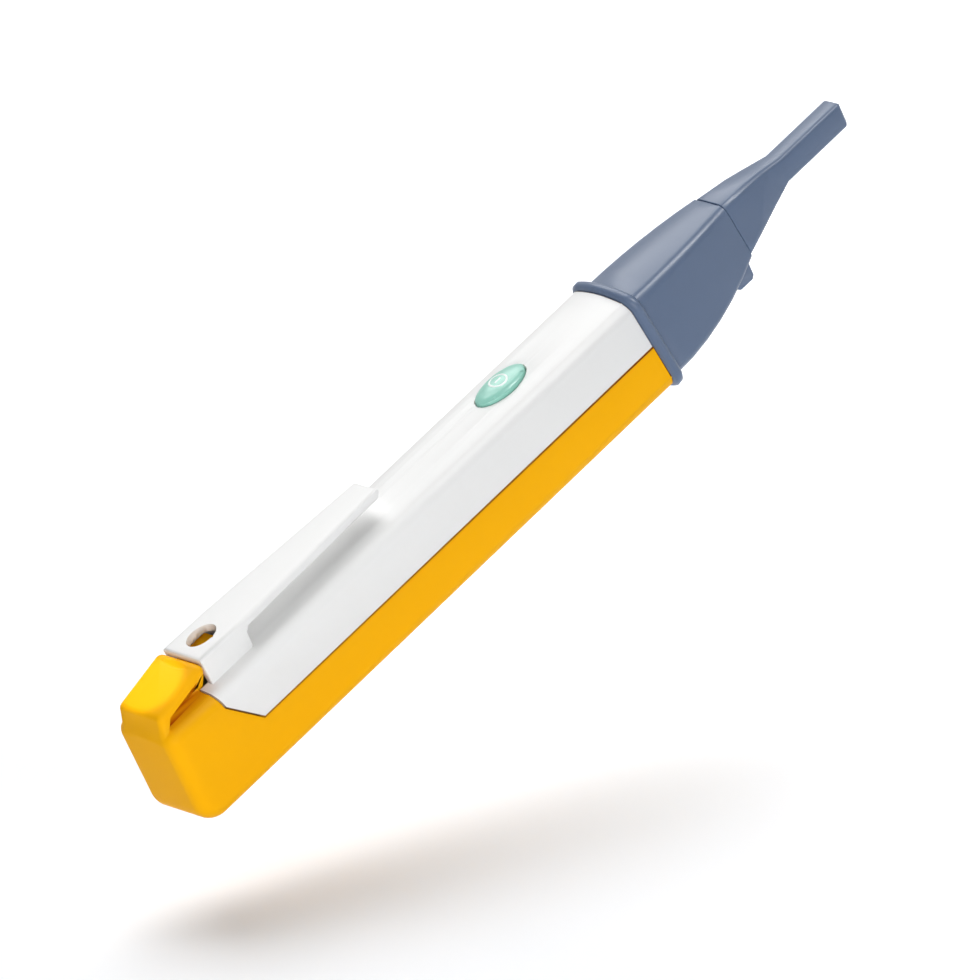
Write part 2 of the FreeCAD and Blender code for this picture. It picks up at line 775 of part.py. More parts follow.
def top_cover():
    """White moulding: an inverted trough with the key opening and the room for the latch tongue."""
    body = new_body("top_cover_body")
    section = sketch_on(body, "cover_section", "YZ_Plane", "tail_end + vee_top - vee_top / 2")
    body_section(section)
    pad(body, section, "bead_front - (tail_end + vee_top / 2)")

    room = sketch_on(body, "housing_room", "XZ_Plane")
    below = "-body_floor"
    above = "body_roof + body_floor"
    polygon(
        room,
        [
            ("tail_end + vee_foot + seam_gap", "parting + seam_gap"),
            ("tail_end + vee_knee + seam_gap", "body_floor + vee_knee_height"),
            ("tail_end + vee_top + seam_gap", "body_roof"),
            ("tail_end + vee_top + seam_gap", above),
            ("tail_end", above),
            ("tail_end", below),
            ("bead_front + bead_length", below),
            ("bead_front + bead_length", above),
            (f"{seam_x('body_front', above)} - seam_gap", above),
            (f"{seam_x('body_front', 'parting')} - seam_gap", "parting + seam_gap"),
        ],
    )
    pocket(body, room, both=True)

    hollow = sketch_on(body, "cover_hollow", "YZ_Plane", "tail_end")
    body_section(hollow, "shell_wall")
    pocket(body, hollow, "body_length + bead_length * 2", back=True)

    notch = box(
        "tongue_room",
        ("tail_end", "-tongue_width / 2 - tongue_clearance", "parting"),
        (
            "tongue_rear + tongue_reach + tongue_clearance * 2",
            "tongue_width / 2 + tongue_clearance",
            "clip_top",
        ),
    )
    opening = oval(
        "key_opening",
        ("key_x", "0", "parting"),
        "key_length + key_gap * 2",
        "key_width + key_gap * 2",
        "body_height",
    )
    node(cut("top_cover_cut", body, [notch, opening]), "top_cover")


def pocket_clip():
    """White moulding: hollow root with an oval hole, and a tapering arm clear of the cover."""
    body = new_body("pocket_clip_body")
    sunk = "body_roof - clip_sink"
    side = sketch_on(body, "clip_side", "XZ_Plane")
    polygon(
        side,
        [
            ("clip_rear + clip_root_lean", sunk),
            ("clip_rear", "clip_top"),
            ("clip_front", "clip_top - clip_fall"),
            ("clip_front - clip_end_slant", "clip_top - clip_fall - clip_thickness"),
            ("clip_root_front + clip_throat", "clip_top - clip_thickness"),
            ("clip_root_front", "clip_top - clip_thickness - clip_throat"),
            ("clip_root_front", sunk),
        ],
    )
    pad(body, side, "clip_width", both=True)

    taper = sketch_on(body, "clip_taper", "XY_Plane", "clip_top + clip_thickness")
    ahead = "clip_front + clip_thickness"
    for sign in ("", "-"):
        polygon(
            taper,
            [
                ("clip_root_front", f"{sign}clip_width / 2"),
                ("clip_front", f"{sign}clip_end_width / 2"),
                (ahead, f"{sign}clip_end_width / 2"),
                (ahead, f"{sign}clip_width"),
                ("clip_root_front", f"{sign}clip_width"),
            ],
        )
    tapered = pocket(body, taper)

    top_low = measure("clip_top - clip_fall") - TOUCH
    dress_edges(body, tapered, "Fillet", "clip_corner", lambda edge: edge.BoundBox.ZMin > top_low)

    crown = sketch_on(body, "clip_seat", "YZ_Plane")
    circle(crown, "0", "crown_axis", "crown_radius")
    pocket(body, crown, both=True)

    hollow = box(
        "clip_hollow",
        ("tail_end", "-tongue_width / 2 - tongue_clearance", "parting"),
        (
            "tongue_rear + tongue_reach + tongue_clearance * 2",
            "tongue_width / 2 + tongue_clearance",
            "clip_top - clip_roof",
        ),
    )
    hole = oval(
        "clip_hole",
        ("clip_rear + clip_hole_place", "0", "body_roof"),
        "clip_hole_length",
        "clip_hole_width",
        "clip_rise * 2",
    )
    node(cut("pocket_clip_cut", body, [hollow, hole]), "pocket_clip")


def power_key():
    """Oval key with a domed top, a skirt under the cover and a stem down to the switch."""
    rings = []
    for n, turn in enumerate(KEY_TURNS):
        share = f"cos({turn} deg) / cos({KEY_TURNS[0]} deg)"
        ring = doc.addObject("Part::Ellipse", f"key_ring_{n}")
        bind(ring, "MajorRadius", f"key_length / 2 * {share}")
        bind(ring, "MinorRadius", f"key_width / 2 * {share}")
        place(ring, "key_x", "0", f"body_roof + key_proud - key_dome * (1 - sin({turn} deg))")
        rings.append(ring)
    dome = doc.addObject("Part::Loft", "key_dome_form")
    dome.Sections = rings
    dome.Solid = True
    dome.Ruled = True
    cap = oval(
        "key_cap",
        ("key_x", "0", "key_skirt_bottom"),
        "key_length",
        "key_width",
        f"body_roof + key_proud - key_dome * (1 - sin({KEY_TURNS[0]} deg)) - key_skirt_bottom",
    )
    skirt = oval(
        "key_skirt_plate",
        ("key_x", "0", "key_skirt_bottom"),
        "key_length + key_skirt * 2",
        "key_width + key_skirt * 2",
        "key_skirt_thickness",
    )
    stem = rod("key_stem_rod", ("key_x", "0", "stem_bottom"), "key_stem", "key_skirt_top - stem_bottom")
    node(fuse("power_button_fuse", [cap, dome, skirt, stem]), "power_button")


def eased(start, end, share):
    """A size that goes from its start to its end by a share of the way."""
    return f"(({start}) + (({end}) - ({start})) * ({share}))"


def nose_sections(body, name, first, last, draw):
    """Leaning sketches along the nose, each drawn from its half width, floor, roof and corner."""
    sketches = []
    for n in range(NOSE_SPANS + 1):
        way = f"({n} / {NOSE_SPANS})"
        share = f"{way} ^ nose_taper"
        x = {0: first, NOSE_SPANS: last}.get(n, f"bead_front + nose_length * {way}")
        sketch = sketch_on(body, f"{name}_{n}", "YZ_Plane", x, "seam_angle")
        draw(
            sketch,
            eased("nose_base_half", "nose_end_half", share),
            eased("nose_base_bottom", "nose_end_bottom", share),
            eased("nose_base_top", "nose_end_top", share),
            eased("nose_base_corner", "nose_end_corner", way),
        )
        sketches.append(sketch)
    return sketches


def nose_outer(sketch, half, bottom, top, corner):
    shell_outline(sketch, half, bottom, top, corner, corner, "crown_radius")


def nose_inner(sketch, half, bottom, top, corner):
    rectangle(
        sketch,
        f"nose_wall - {half}",
        f"{half} - nose_wall",
        f"{bottom} + nose_wall",
        f"{top} - nose_wall",
    )


def nose_housing():
    """Blue-grey moulding: flange bead, bullet body, bulkhead with its shelf, and a lug."""
    body = new_body("nose_housing_body")
    bead = sketch_on(body, "bead", "YZ_Plane", "body_front", "seam_angle")
    body_section(bead, "-bead_proud")
    bead_pad = pad(body, bead, "bead_length * cos(seam_angle * 1 deg)")
    lean = measure("seam_lean")

    def in_seam_plane(edge):
        """Whether both ends stand the same way along the leaning seam."""
        ends = [vertex.X + lean * vertex.Z for vertex in edge.Vertexes]
        return max(ends) - min(ends) < TOUCH

    dress_edges(body, bead_pad, "Chamfer", "bead_bevel", in_seam_plane)

    outer = nose_sections(body, "nose_outer", "bead_front - bead_length / 2", "nose_front", nose_outer)
    loft(body, "AdditiveLoft", "nose_shell", outer)
    behind, ahead = "body_front - bead_length / 2", "nose_front + bead_length / 2"
    inner = nose_sections(body, "nose_inner", behind, ahead, nose_inner)
    loft(body, "SubtractiveLoft", "nose_hollow", inner)

    bulkhead = sketch_on(body, "bulkhead", "YZ_Plane", "body_front", "seam_angle")
    wall = "nose_base_half - nose_wall / 2"
    rectangle(bulkhead, f"-({wall})", wall, "nose_base_bottom + nose_wall / 2", "bulkhead_top")
    pad(body, bulkhead, "bead_length * cos(seam_angle * 1 deg)")

    shelf = sketch_on(body, "joint_tongue", "YZ_Plane", "body_front - joint_tongue_length")
    half = "inner_half - tongue_clearance"
    rectangle(shelf, f"-({half})", half, "joint_tongue_bottom", "bulkhead_top")
    pad(body, shelf, "joint_tongue_length + shelf_length")
    holes = sketch_on(body, "joint_holes", "XY_Plane", "bulkhead_top")
    for y in ("boss_spread / 2", "-boss_spread / 2"):
        circle(holes, "nose_boss_x", y, "screw_diameter / 2 + screw_gap")
    pocket(body, holes, "joint_tongue_thickness")
    post_foot = "bulkhead_top - joint_tongue_thickness / 2"
    bosses(body, "board_posts", ("post_x", "post_spread"), post_foot, "board_bottom")

    lug = sketch_on(body, "lug", "XZ_Plane")
    front = seam_x("nose_front", "nose_end_bottom")
    polygon(
        lug,
        [
            (f"{front} - lug_setback / 2 - lug_length", "lug_bottom + lug_slope"),
            (f"{front} - lug_setback / 2 - lug_length + lug_slope", "lug_bottom"),
            (f"{front} - lug_setback", "lug_bottom"),
            (f"{front} - lug_setback + lug_slope", "lug_bottom + lug_slope"),
            (f"{front} - lug_slope", "nose_end_bottom + nose_wall / 2"),
            (f"{front} - lug_setback / 2 - lug_length", "nose_end_bottom - lug_drop / 3"),
        ],
    )
    pad(body, lug, "lug_width", both=True)
    node(body, "nose_housing")


def cone_sections(body):
    """Sketches along the cone, from the step behind it to the tube."""
    sketches = []
    for n in range(CONE_SPANS + 1):
        left = f"(1 - {n} / {CONE_SPANS})"
        if n:
            sketch = sketch_on(body, f"cone_{n}", "YZ_Plane", f"cone_front - cone_length * {left}")
        else:
            sketch = sketch_on(body, "cone_base", "YZ_Plane", "nose_front + step_gap", "seam_angle")
        faceted_outline(
            sketch,
            eased("tube_half", "nose_end_half - step_inset", f"{left} ^ cone_side_taper"),
            eased("tube_bottom", "nose_end_bottom + step_inset", f"{left} ^ cone_floor_taper"),
            eased("tube_top", "nose_end_top - step_inset", f"{left} ^ cone_roof_taper"),
            eased("tube_corner", "nose_end_corner", left),
        )
        sketches.append(sketch)
    return sketches


def probe_tip():
    """Blue-grey moulding: cone, four-sided tube and the spigot that plugs into the nose."""
    body = new_body("probe_tip_body")
    loft(body, "AdditiveLoft", "cone", cone_sections(body))

    run = sketch_on(body, "tube", "YZ_Plane", "cone_front")
    faceted_outline(run, "tube_half", "tube_bottom", "tube_top", "tube_corner")
    tube_pad = pad(body, run, "tip_length")
    dress_edges(body, tube_pad, "Chamfer", "tube_end_bevel", on_plane("X", "tip_end"))

    spigot = sketch_on(body, "spigot", "YZ_Plane", "spigot_start")
    shell_outline(
        spigot,
        "spigot_half",
        "spigot_bottom",
        "spigot_top",
        "spigot_corner",
        "spigot_corner",
        "crown_radius",
    )
    pad(body, spigot, "nose_front + step_gap - spigot_start")

    well = rod(
        "can_well",
        ("spigot_start - seam_gap", "0", "guide_axis"),
        "can_diameter + can_rim * 2 + can_gap * 2",
        "can_front + can_gap - (spigot_start - seam_gap)",
        "X",
    )
    bore = rod(
        "guide_bore",
        ("can_rear", "0", "guide_axis"),
        "guide_diameter + guide_gap * 2",
        "tip_end + guide_recess - can_rear",
        "X",
    )
    node(cut("probe_tip_cut", body, [well, bore]), "probe_tip")


def detector():
    """Clear guide rod, the photodiode can behind it and the two leads on to the board."""
    guide_start = "can_front + can_gap"
    node(
        rod(
            "light_guide_rod",
            (guide_start, "0", "guide_axis"),
            "guide_diameter",
            f"tip_end - guide_recess - ({guide_start})",
            "X",
        ),
        "light_guide",
    )
    can = rod("can_barrel", ("can_rear", "0", "guide_axis"), "can_diameter", "can_length", "X")
    rim = rod(
        "can_flange",
        ("can_rear", "0", "guide_axis"),
        "can_diameter + can_rim * 2",
        "can_rim_thickness",
        "X",
    )
    node(fuse("photodiode_fuse", [can, rim]), "photodiode")
    lead_start = "board_end - lead_lap"
    leads = [
        rod(
            f"lead_{n}",
            (lead_start, y, "board_top + lead_diameter / 2"),
            "lead_diameter",
            f"can_rear - ({lead_start})",
            "X",
        )
        for n, y in enumerate(("lead_pitch / 2", "-lead_pitch / 2"))
    ]
    node(fuse("detector_leads_fuse", leads), "detector_leads")


def circuit_board():
    """Board that narrows into the nose, with holes for its two screws."""
    body = new_body("circuit_board_body")
    outline = sketch_on(body, "board_outline", "XY_Plane", "board_bottom")
    polygon(
        outline,
        [
            ("board_start", "-board_width / 2"),
            ("board_end - board_taper", "-board_width / 2"),
            ("board_end", "-board_end_width / 2"),
            ("board_end", "board_end_width / 2"),
            ("board_end - board_taper", "board_width / 2"),
            ("board_start", "board_width / 2"),
        ],
    )
    pad(body, outline, "board_thickness")
    holes = sketch_on(body, "board_holes", "XY_Plane", "board_top")
    for y in ("post_spread / 2", "-post_spread / 2"):
        circle(holes, "post_x", y, "screw_diameter / 2 + screw_gap")
    pocket(body, holes, "board_thickness")
    node(body, "circuit_board")


def chip(name, x, size, height):
    """A square package on the board."""
    half = f"({size}) / 2"
    node(
        box(
            f"{name}_box",
            (f"{x} - {half}", f"-{half}", "board_top"),
            (f"{x} + {half}", half, f"board_top + {height}"),
        ),
        name,
    )


def board_parts():
    """Switch with its plunger, lamp, sounder and the two chips."""
    half = "switch_size / 2"
    case = box(
        "switch_case",
        (f"key_x - {half}", f"-{half}", "board_top"),
        (f"key_x + {half}", half, "board_top + switch_height"),
    )
    guide = rod(
        "switch_bore",
        ("key_x", "0", "board_top + plunger_floor"),
        "plunger_diameter + plunger_gap * 2",
        "switch_height",
    )
    node(cut("power_switch_cut", case, [guide]), "power_switch")
    plunger = rod(
        "plunger_rod", ("key_x", "0", "plunger_bottom"), "plunger_diameter", "plunger_top - plunger_bottom"
    )
    node(plunger, "switch_plunger")
    lamp_x = "(key_x + led_place)"
    node(
        box(
            "indicator_box",
            (f"{lamp_x} - led_length / 2", "-led_width / 2", "board_top"),
            (f"{lamp_x} + led_length / 2", "led_width / 2", "board_top + led_height"),
        ),
        "indicator_led",
    )
    sounder_x = "(key_x + sounder_place)"
    drum = rod("sounder_drum", (sounder_x, "0", "board_top"), "sounder_diameter", "sounder_height")
    port = rod(
        "sounder_hole",
        (sounder_x, "0", "board_top + sounder_height / 2"),
        "sounder_port",
        "sounder_height",
    )
    node(cut("sounder_cut", drum, [port]), "sounder")
    chip("microcontroller", "(key_x + controller_place)", "controller_size", "chip_height")
    chip("amplifier_chip", "(board_end - amplifier_place)", "amplifier_size", "chip_height")


def batteries():
    """Two cells in line, positive ends forward."""
    for name, start in (("rear_battery", "rear_battery_start"), ("front_battery", "front_battery_start")):
        can = rod(
            f"{name}_can",
            (start, "0", "battery_axis"),
            "battery_diameter",
            "battery_length - nub_length",
            "X",
        )
        nub = rod(f"{name}_nub", (start, "0", "battery_axis"), "nub_diameter", "battery_length", "X")
        node(fuse(f"{name}_fuse", [can, nub]), name)


def contacts():
    """Bow spring at the tail, plate at the front and the strip that runs back along the floor."""
    plate_half = "contact_width / 2"
    strip_low = "-strip_place - strip_width / 2"
    strip_high = "-strip_place + strip_width / 2"
    back = box(
        "rear_plate",
        ("inner_tail", strip_low, "inner_floor + strip_lift"),
        ("inner_tail + contact_thickness", f"{plate_half}", "battery_axis + contact_bow"),
    )
    bow_x = "inner_tail + contact_thickness"
    arcs = []
    for name, radius in (("bow_outer", "contact_bow"), ("bow_inner", "contact_bow - contact_thickness")):
        drum = doc.addObject("Part::Cylinder", name)
        drum.Placement.Rotation = FreeCAD.Rotation(FreeCAD.Vector(1, 0, 0), 90)
        bind(drum, "Radius", radius)
        bind(drum, "Height", "contact_width")
        place(drum, bow_x, plate_half, "battery_axis")
        arcs.append(drum)
    ring = cut("bow_ring", arcs[0], [arcs[1]])
    front_room = box(
        "bow_half",
        (bow_x, f"-{plate_half}", "battery_axis - contact_bow"),
        (f"{bow_x} + contact_bow", plate_half, "battery_axis + contact_bow"),
    )
    bow = common("bow", ring, front_room)
    node(fuse("rear_contact_fuse", [back, bow]), "rear_contact")

    node(
        box(
            "front_plate",
            ("battery_front", f"-{plate_half}", "battery_axis - contact_bow"),
            ("battery_front + contact_thickness", plate_half, "board_bottom"),
        ),
        "front_contact",
    )
    run = box(
        "strip_run",
        ("inner_tail + contact_thickness", strip_low, "inner_floor + strip_lift"),
        ("rib_end", strip_high, "inner_floor + strip_lift + strip_thickness"),
    )
    riser = box(
        "strip_riser",
        ("rib_end - strip_thickness", strip_low, "inner_floor + strip_lift"),
        ("rib_end", strip_high, "board_bottom"),
    )
    node(fuse("return_strip_fuse", [run, riser]), "return_strip")


def screws(name, pair, seat, clamped):
    """A pair of slotted screws whose heads rest on a seat and whose shanks go down into the bosses."""
    x, spread = pair
    made = []
    for n, y in enumerate((f"{spread} / 2", f"-{spread} / 2")):
        depth = f"{clamped} + screw_bite"
        shank = rod(f"{name}_shank_{n}", (x, y, f"{seat} - ({depth})"), "screw_diameter", depth)
        head = rod(f"{name}_head_{n}", (x, y, seat), "head_diameter", "head_height")
        slot = box(
            f"{name}_slot_{n}",
            (f"{x} - head_diameter", f"{y} - head_slot / 2", f"{seat} + head_height - head_slot_depth"),
            (f"{x} + head_diameter", f"{y} + head_slot / 2", f"{seat} + head_height * 2"),
        )
        made.append(cut(f"{name}_{n}", fuse(f"{name}_blank_{n}", [shank, head]), [slot]))
    group = doc.addObject("Part::Compound", f"{name}_group")
    group.Links = made
    node(group, name)


def check_document():
    """Stops if any object failed or any body or sub-part has no valid solid."""
    failed = [item.Name for item in doc.Objects if {"Invalid", "Error"} & set(item.State)]
    solids = [item for item in doc.Objects if item.isDerivedFrom("PartDesign::Body")] + nodes
    failed += [item.Label for item in solids if not (item.Shape.Solids and item.Shape.isValid())]
    if failed:
        raise RuntimeError(f"failed objects: {failed}")


def write_parts():
    os.makedirs("parts", exist_ok=True)
    for item in nodes:
        item.Shape.exportStep(f"parts/{item.Label}.step")


fill_sheet()
lower_housing()
top_cover()
pocket_clip()
power_key()
nose_housing()
probe_tip()
detector()
circuit_board()
board_parts()
batteries()
contacts()
screws("board_screws", ("post_x", "post_spread"), "board_top", "board_thickness")
screws("nose_screws", ("nose_boss_x", "boss_spread"), "bulkhead_top", "joint_tongue_thickness")
doc.recompute()
check_document()
write_parts()
print(f"{len(nodes)} sub-parts written")
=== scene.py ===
# %% [markdown]
# # A live fibre detector, dressed for its picture
# The tester is a slim pen of moulded plastic: an orange lower housing with a hooded tail, a white cover
# with a pocket clip, a green key and a blue-grey nose. Its solids come from the CAD part, already in place
# and in metres, so this lesson only adds what a solid can't hold: soft edges, moulded grain, colour and
# small parts.

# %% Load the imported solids
import json
from math import cos, degrees, pi, radians, sin

import bmesh
import bpy
from mathutils import Matrix, Vector
from mathutils.bvhtree import BVHTree


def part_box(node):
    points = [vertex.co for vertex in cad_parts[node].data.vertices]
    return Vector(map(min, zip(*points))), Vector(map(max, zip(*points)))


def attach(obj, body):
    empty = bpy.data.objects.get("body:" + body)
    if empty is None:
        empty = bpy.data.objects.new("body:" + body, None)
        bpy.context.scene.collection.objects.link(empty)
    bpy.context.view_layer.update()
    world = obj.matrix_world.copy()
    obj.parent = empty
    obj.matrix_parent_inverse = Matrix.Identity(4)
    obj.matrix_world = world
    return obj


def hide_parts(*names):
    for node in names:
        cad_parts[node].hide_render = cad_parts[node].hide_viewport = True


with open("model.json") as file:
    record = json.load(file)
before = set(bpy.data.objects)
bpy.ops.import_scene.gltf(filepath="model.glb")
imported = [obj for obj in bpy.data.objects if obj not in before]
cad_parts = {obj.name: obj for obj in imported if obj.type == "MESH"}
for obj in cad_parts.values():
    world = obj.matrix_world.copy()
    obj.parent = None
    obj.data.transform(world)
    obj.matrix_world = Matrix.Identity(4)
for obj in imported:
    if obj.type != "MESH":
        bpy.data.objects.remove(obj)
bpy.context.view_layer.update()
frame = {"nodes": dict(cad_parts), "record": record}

scene = bpy.context.scene
MM = 0.001
node_slot = {part["node"]: part["material_slot"] for part in frame["record"]["subparts"]}
bodies = frame["record"]["behaviour"]["bodies"]
node_body = {node: body for body, nodes in bodies.items() for node in nodes}

# %% [markdown]
# ## Camera
# The picture was taken from far away with a long lens, so parallel edges stay parallel. The pen was held
# tail down and tip up. Turning the pen would break the shared frame, so the camera leans instead: its three
# axes are written in the pen's frame, and the distance is long enough to flatten the perspective in the
# same way.

# %% Place the camera
VIEW_RIGHT = Vector((0.6495, -0.6718, -0.3562))
VIEW_UP = Vector((0.6190, 0.1951, 0.7608))
VIEW_BACK = Vector((-0.4416, -0.7146, 0.5425))
VIEW_CENTRE = Vector((-4.1, 4.57, 3.4)) * MM
VIEW_DISTANCE = 2.0
VIEW_WIDTH = 160.4 * MM

camera_data = bpy.data.cameras.new("long_lens")
camera_data.sensor_width = 36.0
camera_data.lens = camera_data.sensor_width * VIEW_DISTANCE / VIEW_WIDTH
camera_data.clip_end = 20.0
camera = bpy.data.objects.new("long_lens", camera_data)
turn = Matrix((VIEW_RIGHT, VIEW_UP, VIEW_BACK)).transposed().to_quaternion()
camera.matrix_world = Matrix.Translation(VIEW_CENTRE + VIEW_BACK * VIEW_DISTANCE) @ turn.to_matrix().to_4x4()
scene.collection.objects.link(camera)
scene.camera = camera
scene.view_settings.view_transform = "Standard"
print("lens in mm:", round(camera_data.lens))

# %% [markdown]
# ## Helpers for node work
# The floor, the room, the finishes and the repeated small parts are all built from nodes. A few helpers
# keep that short: one adds a node, one sets its inputs, one joins sockets and one starts a material.


# %% Node helpers
EDITOR_COLUMN = 200
EDITOR_ROW = -160


def add_node(tree, kind, spot, **settings):
    """Adds a node, with its properties or socket values, at a place in the editor."""
    made = tree.nodes.new(kind)
    made.location = (spot[0] * EDITOR_COLUMN, spot[1] * EDITOR_ROW)
    for name, value in settings.items():
        if name in made.inputs:
            made.inputs[name].default_value = value
        else:
            setattr(made, name, value)
    return made


def fill(node, values):
    """Sets a node's inputs by name or by number."""
    for name, value in values.items():
        node.inputs[name].default_value = value


def wire(tree, *links):
    """Joins sockets: each link names a node, its output, the next node and its input."""
    for source, put, target, into in links:
        tree.links.new(source.outputs[put], target.inputs[into])


def new_material(name):
    """A material, its node tree and the Principled node that it starts with."""
    material = bpy.data.materials.new(name)
    material.use_nodes = True
    return material, material.node_tree, material.node_tree.nodes["Principled BSDF"]


# %% [markdown]
# ## Floor and light
# The pen floats above a white sweep, tip up, so the floor leans in the pen's frame by the angle at which
# the pen was held. The floor takes the shadow as a plain diffuse surface. Seen by the camera, in a gloss or
# through the clear rod it also glows a little, more towards the tip, which brings its unshadowed part to
# white and lets the shadow fade. The room is white to the same rays and dim to all others, so it hardly
# lights the shadow.


# %% Floor
HELD_ANGLE = radians(22)
FLOOR_DROP = 13.5 * MM
FLOOR_REACH = 3.0
FLOOR_GLOW = (0.2, 0.45)
GLOW_RUN = (-70 * MM, 40 * MM)
PAPER = (0.88, 0.9, 0.93, 1)
WHITE = (1, 1, 1, 1)


def seen_rays(tree, row):
    """Picks the rays that bring light to the picture, straight, in a gloss or through the clear rod."""
    path = add_node(tree, "ShaderNodeLightPath", (-3, row))
    seen = add_node(tree, "ShaderNodeMath", (-2, row), operation="MAXIMUM")
    also = add_node(tree, "ShaderNodeMath", (-1.4, row), operation="MAXIMUM")
    wire(
        tree,
        (path, "Is Camera Ray", seen, 0),
        (path, "Is Glossy Ray", seen, 1),
        (seen, 0, also, 0),
        (path, "Is Transmission Ray", also, 1),
    )
    return also


def floor_material():
    material, tree, _ = new_material("white_sweep")
    tree.nodes.clear()
    paper = add_node(tree, "ShaderNodeBsdfDiffuse", (0, 0), Color=PAPER)
    glow = add_node(tree, "ShaderNodeEmission", (0, 1), Color=WHITE)
    seen = seen_rays(tree, 1)
    level = add_node(tree, "ShaderNodeMath", (-0.7, 1), operation="MULTIPLY")
    place = add_node(tree, "ShaderNodeTexCoord", (-4, 2))
    parts = add_node(tree, "ShaderNodeSeparateXYZ", (-3, 2))
    rise = add_node(tree, "ShaderNodeMapRange", (-2, 2))
    both = add_node(tree, "ShaderNodeAddShader", (1, 0))
    under = add_node(tree, "ShaderNodeNewGeometry", (0, 2))
    clear = add_node(tree, "ShaderNodeBsdfTransparent", (1, 1))
    side = add_node(tree, "ShaderNodeMixShader", (2, 0))
    out = add_node(tree, "ShaderNodeOutputMaterial", (3, 0))
    fill(rise, {"From Min": GLOW_RUN[0], "From Max": GLOW_RUN[1]})
    fill(rise, {"To Min": FLOOR_GLOW[0], "To Max": FLOOR_GLOW[1]})
    wire(
        tree,
        (place, "Object", parts, 0),
        (parts, "X", rise, "Value"),
        (seen, 0, level, 0),
        (rise, 0, level, 1),
        (level, 0, glow, "Strength"),
        (paper, 0, both, 0),
        (glow, 0, both, 1),
        (under, "Backfacing", side, 0),
        (both, 0, side, 1),
        (clear, 0, side, 2),
        (side, 0, out, "Surface"),
    )
    return material


floor_up = Vector((sin(HELD_ANGLE), 0, cos(HELD_ANGLE)))
tail_foot = Vector((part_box("lower_housing")[0].x, 0, 0))
floor_turn = Matrix.Rotation(HELD_ANGLE, 4, "Y")
floor_corners = []
for x, y in ((-1, -1), (1, -1), (1, 1), (-1, 1)):
    reach = Vector((x, y, 0)) * FLOOR_REACH
    floor_corners.append(tail_foot - floor_up * FLOOR_DROP + floor_turn @ reach)
floor_mesh = bpy.data.meshes.new("sweep")
floor_mesh.from_pydata(floor_corners, [], [(0, 1, 2, 3)])
floor_mesh.materials.append(floor_material())
floor = bpy.data.objects.new("sweep", floor_mesh)
scene.collection.objects.link(floor)
print("floor leans by", round(degrees(HELD_ANGLE)), "degrees")

# %% Room: even light for surfaces, white for the camera and for reflections
ROOM_LEVEL = 0.14
world = bpy.data.worlds.new("white_room")
scene.world = world
world.use_nodes = True
room = world.node_tree
room.nodes.clear()
room_seen = seen_rays(room, 0)
room_level = add_node(room, "ShaderNodeMapRange", (-0.7, 0))
room_glow = add_node(room, "ShaderNodeBackground", (0, 0), Color=WHITE)
room_out = add_node(room, "ShaderNodeOutputWorld", (1, 0))
fill(room_level, {"To Min": ROOM_LEVEL, "To Max": 1.0})
wire(
    room,
    (room_seen, 0, room_level, "Value"),
    (room_level, 0, room_glow, "Strength"),
    (room_glow, 0, room_out, "Surface"),
)
print("room level:", ROOM_LEVEL)

# %% [markdown]
# A wide box overhead casts the shadow, and a second one beside the camera fills the near side. The narrow
# strip stands where the nose's upper edge mirrors it, as a photographer would set it for a bright line, so
# it lights only reflections. A small lamp in a long tube brightens the top of the hood at the tail, and its
# cone stays narrower than the pen, so that none of it falls on the floor.


# %% Lamps
def hang(lamp_data, direction, distance, aim):
    """Hangs a lamp in a direction from the place at which it looks."""
    away = Vector(direction).normalized()
    turn = away.to_track_quat("Z", "Y").to_matrix().to_4x4()
    lamp = bpy.data.objects.new(lamp_data.name, lamp_data)
    lamp.matrix_world = Matrix.Translation(aim + away * distance) @ turn
    scene.collection.objects.link(lamp)
    print(lamp.name, "gives", lamp_data.energy, "watts from", distance, "metres")
    return lamp


SOFT_BOXES = {
    "overhead_box": ((0.51, 0.47, 0.72), 1.5, (1.1, 1.1), 20.3),
    "near_box": ((-0.42, -1.0, 0.3), 1.6, (1.4, 1.2), 25.0),
    "arris_strip": ((0.6, -0.47, 0.64), 1.4, (0.1, 0.8), 16.0),
}
for name, (direction, distance, size, power) in SOFT_BOXES.items():
    box = bpy.data.lights.new(name, "AREA")
    box.shape = "RECTANGLE"
    box.size, box.size_y = size
    box.energy = power
    lamp = hang(box, direction, distance, Vector((0, 0, 0)))
    lamp.visible_diffuse = name != "arris_strip"

HOOD_TOP = Vector((-79.0, 1.2, 24)) * MM
TAIL_LAMP_WAY = (-0.25, 0.1, 0.96)
TAIL_LAMP_DISTANCE = 0.6
tail_lamp = bpy.data.lights.new("tail_lamp", "SPOT")
tail_lamp.energy = 8.0
tail_lamp.spot_size = radians(1.2)
tail_lamp.spot_blend = 0.4
tail_lamp.shadow_soft_size = 1.0 * MM
hang(tail_lamp, TAIL_LAMP_WAY, TAIL_LAMP_DISTANCE, HOOD_TOP)

# %% [markdown]
# ## Finishes that several mouldings share
# Every moulding came out of a spark-eroded mould, so all of them carry a very fine pebble grain, a little
# unevenness of tone and slightly rubbed edges. Each of these effects is one shader node group with its own
# inputs, so that a finish only says how much of it the piece has. The tone group also paints shade into
# hollows and seams.


# %% Group helper
def new_group(name, inputs, outputs):
    """A shader node group with typed sockets; returns the tree and its two end nodes."""
    tree = bpy.data.node_groups.new(name, "ShaderNodeTree")
    for label, kind, value in inputs:
        made = tree.interface.new_socket(name=label, in_out="INPUT", socket_type=kind)
        made.default_value = value
    for label, kind in outputs:
        tree.interface.new_socket(name=label, in_out="OUTPUT", socket_type=kind)
    return tree, add_node(tree, "NodeGroupInput", (-6, 0)), add_node(tree, "NodeGroupOutput", (3, 0))


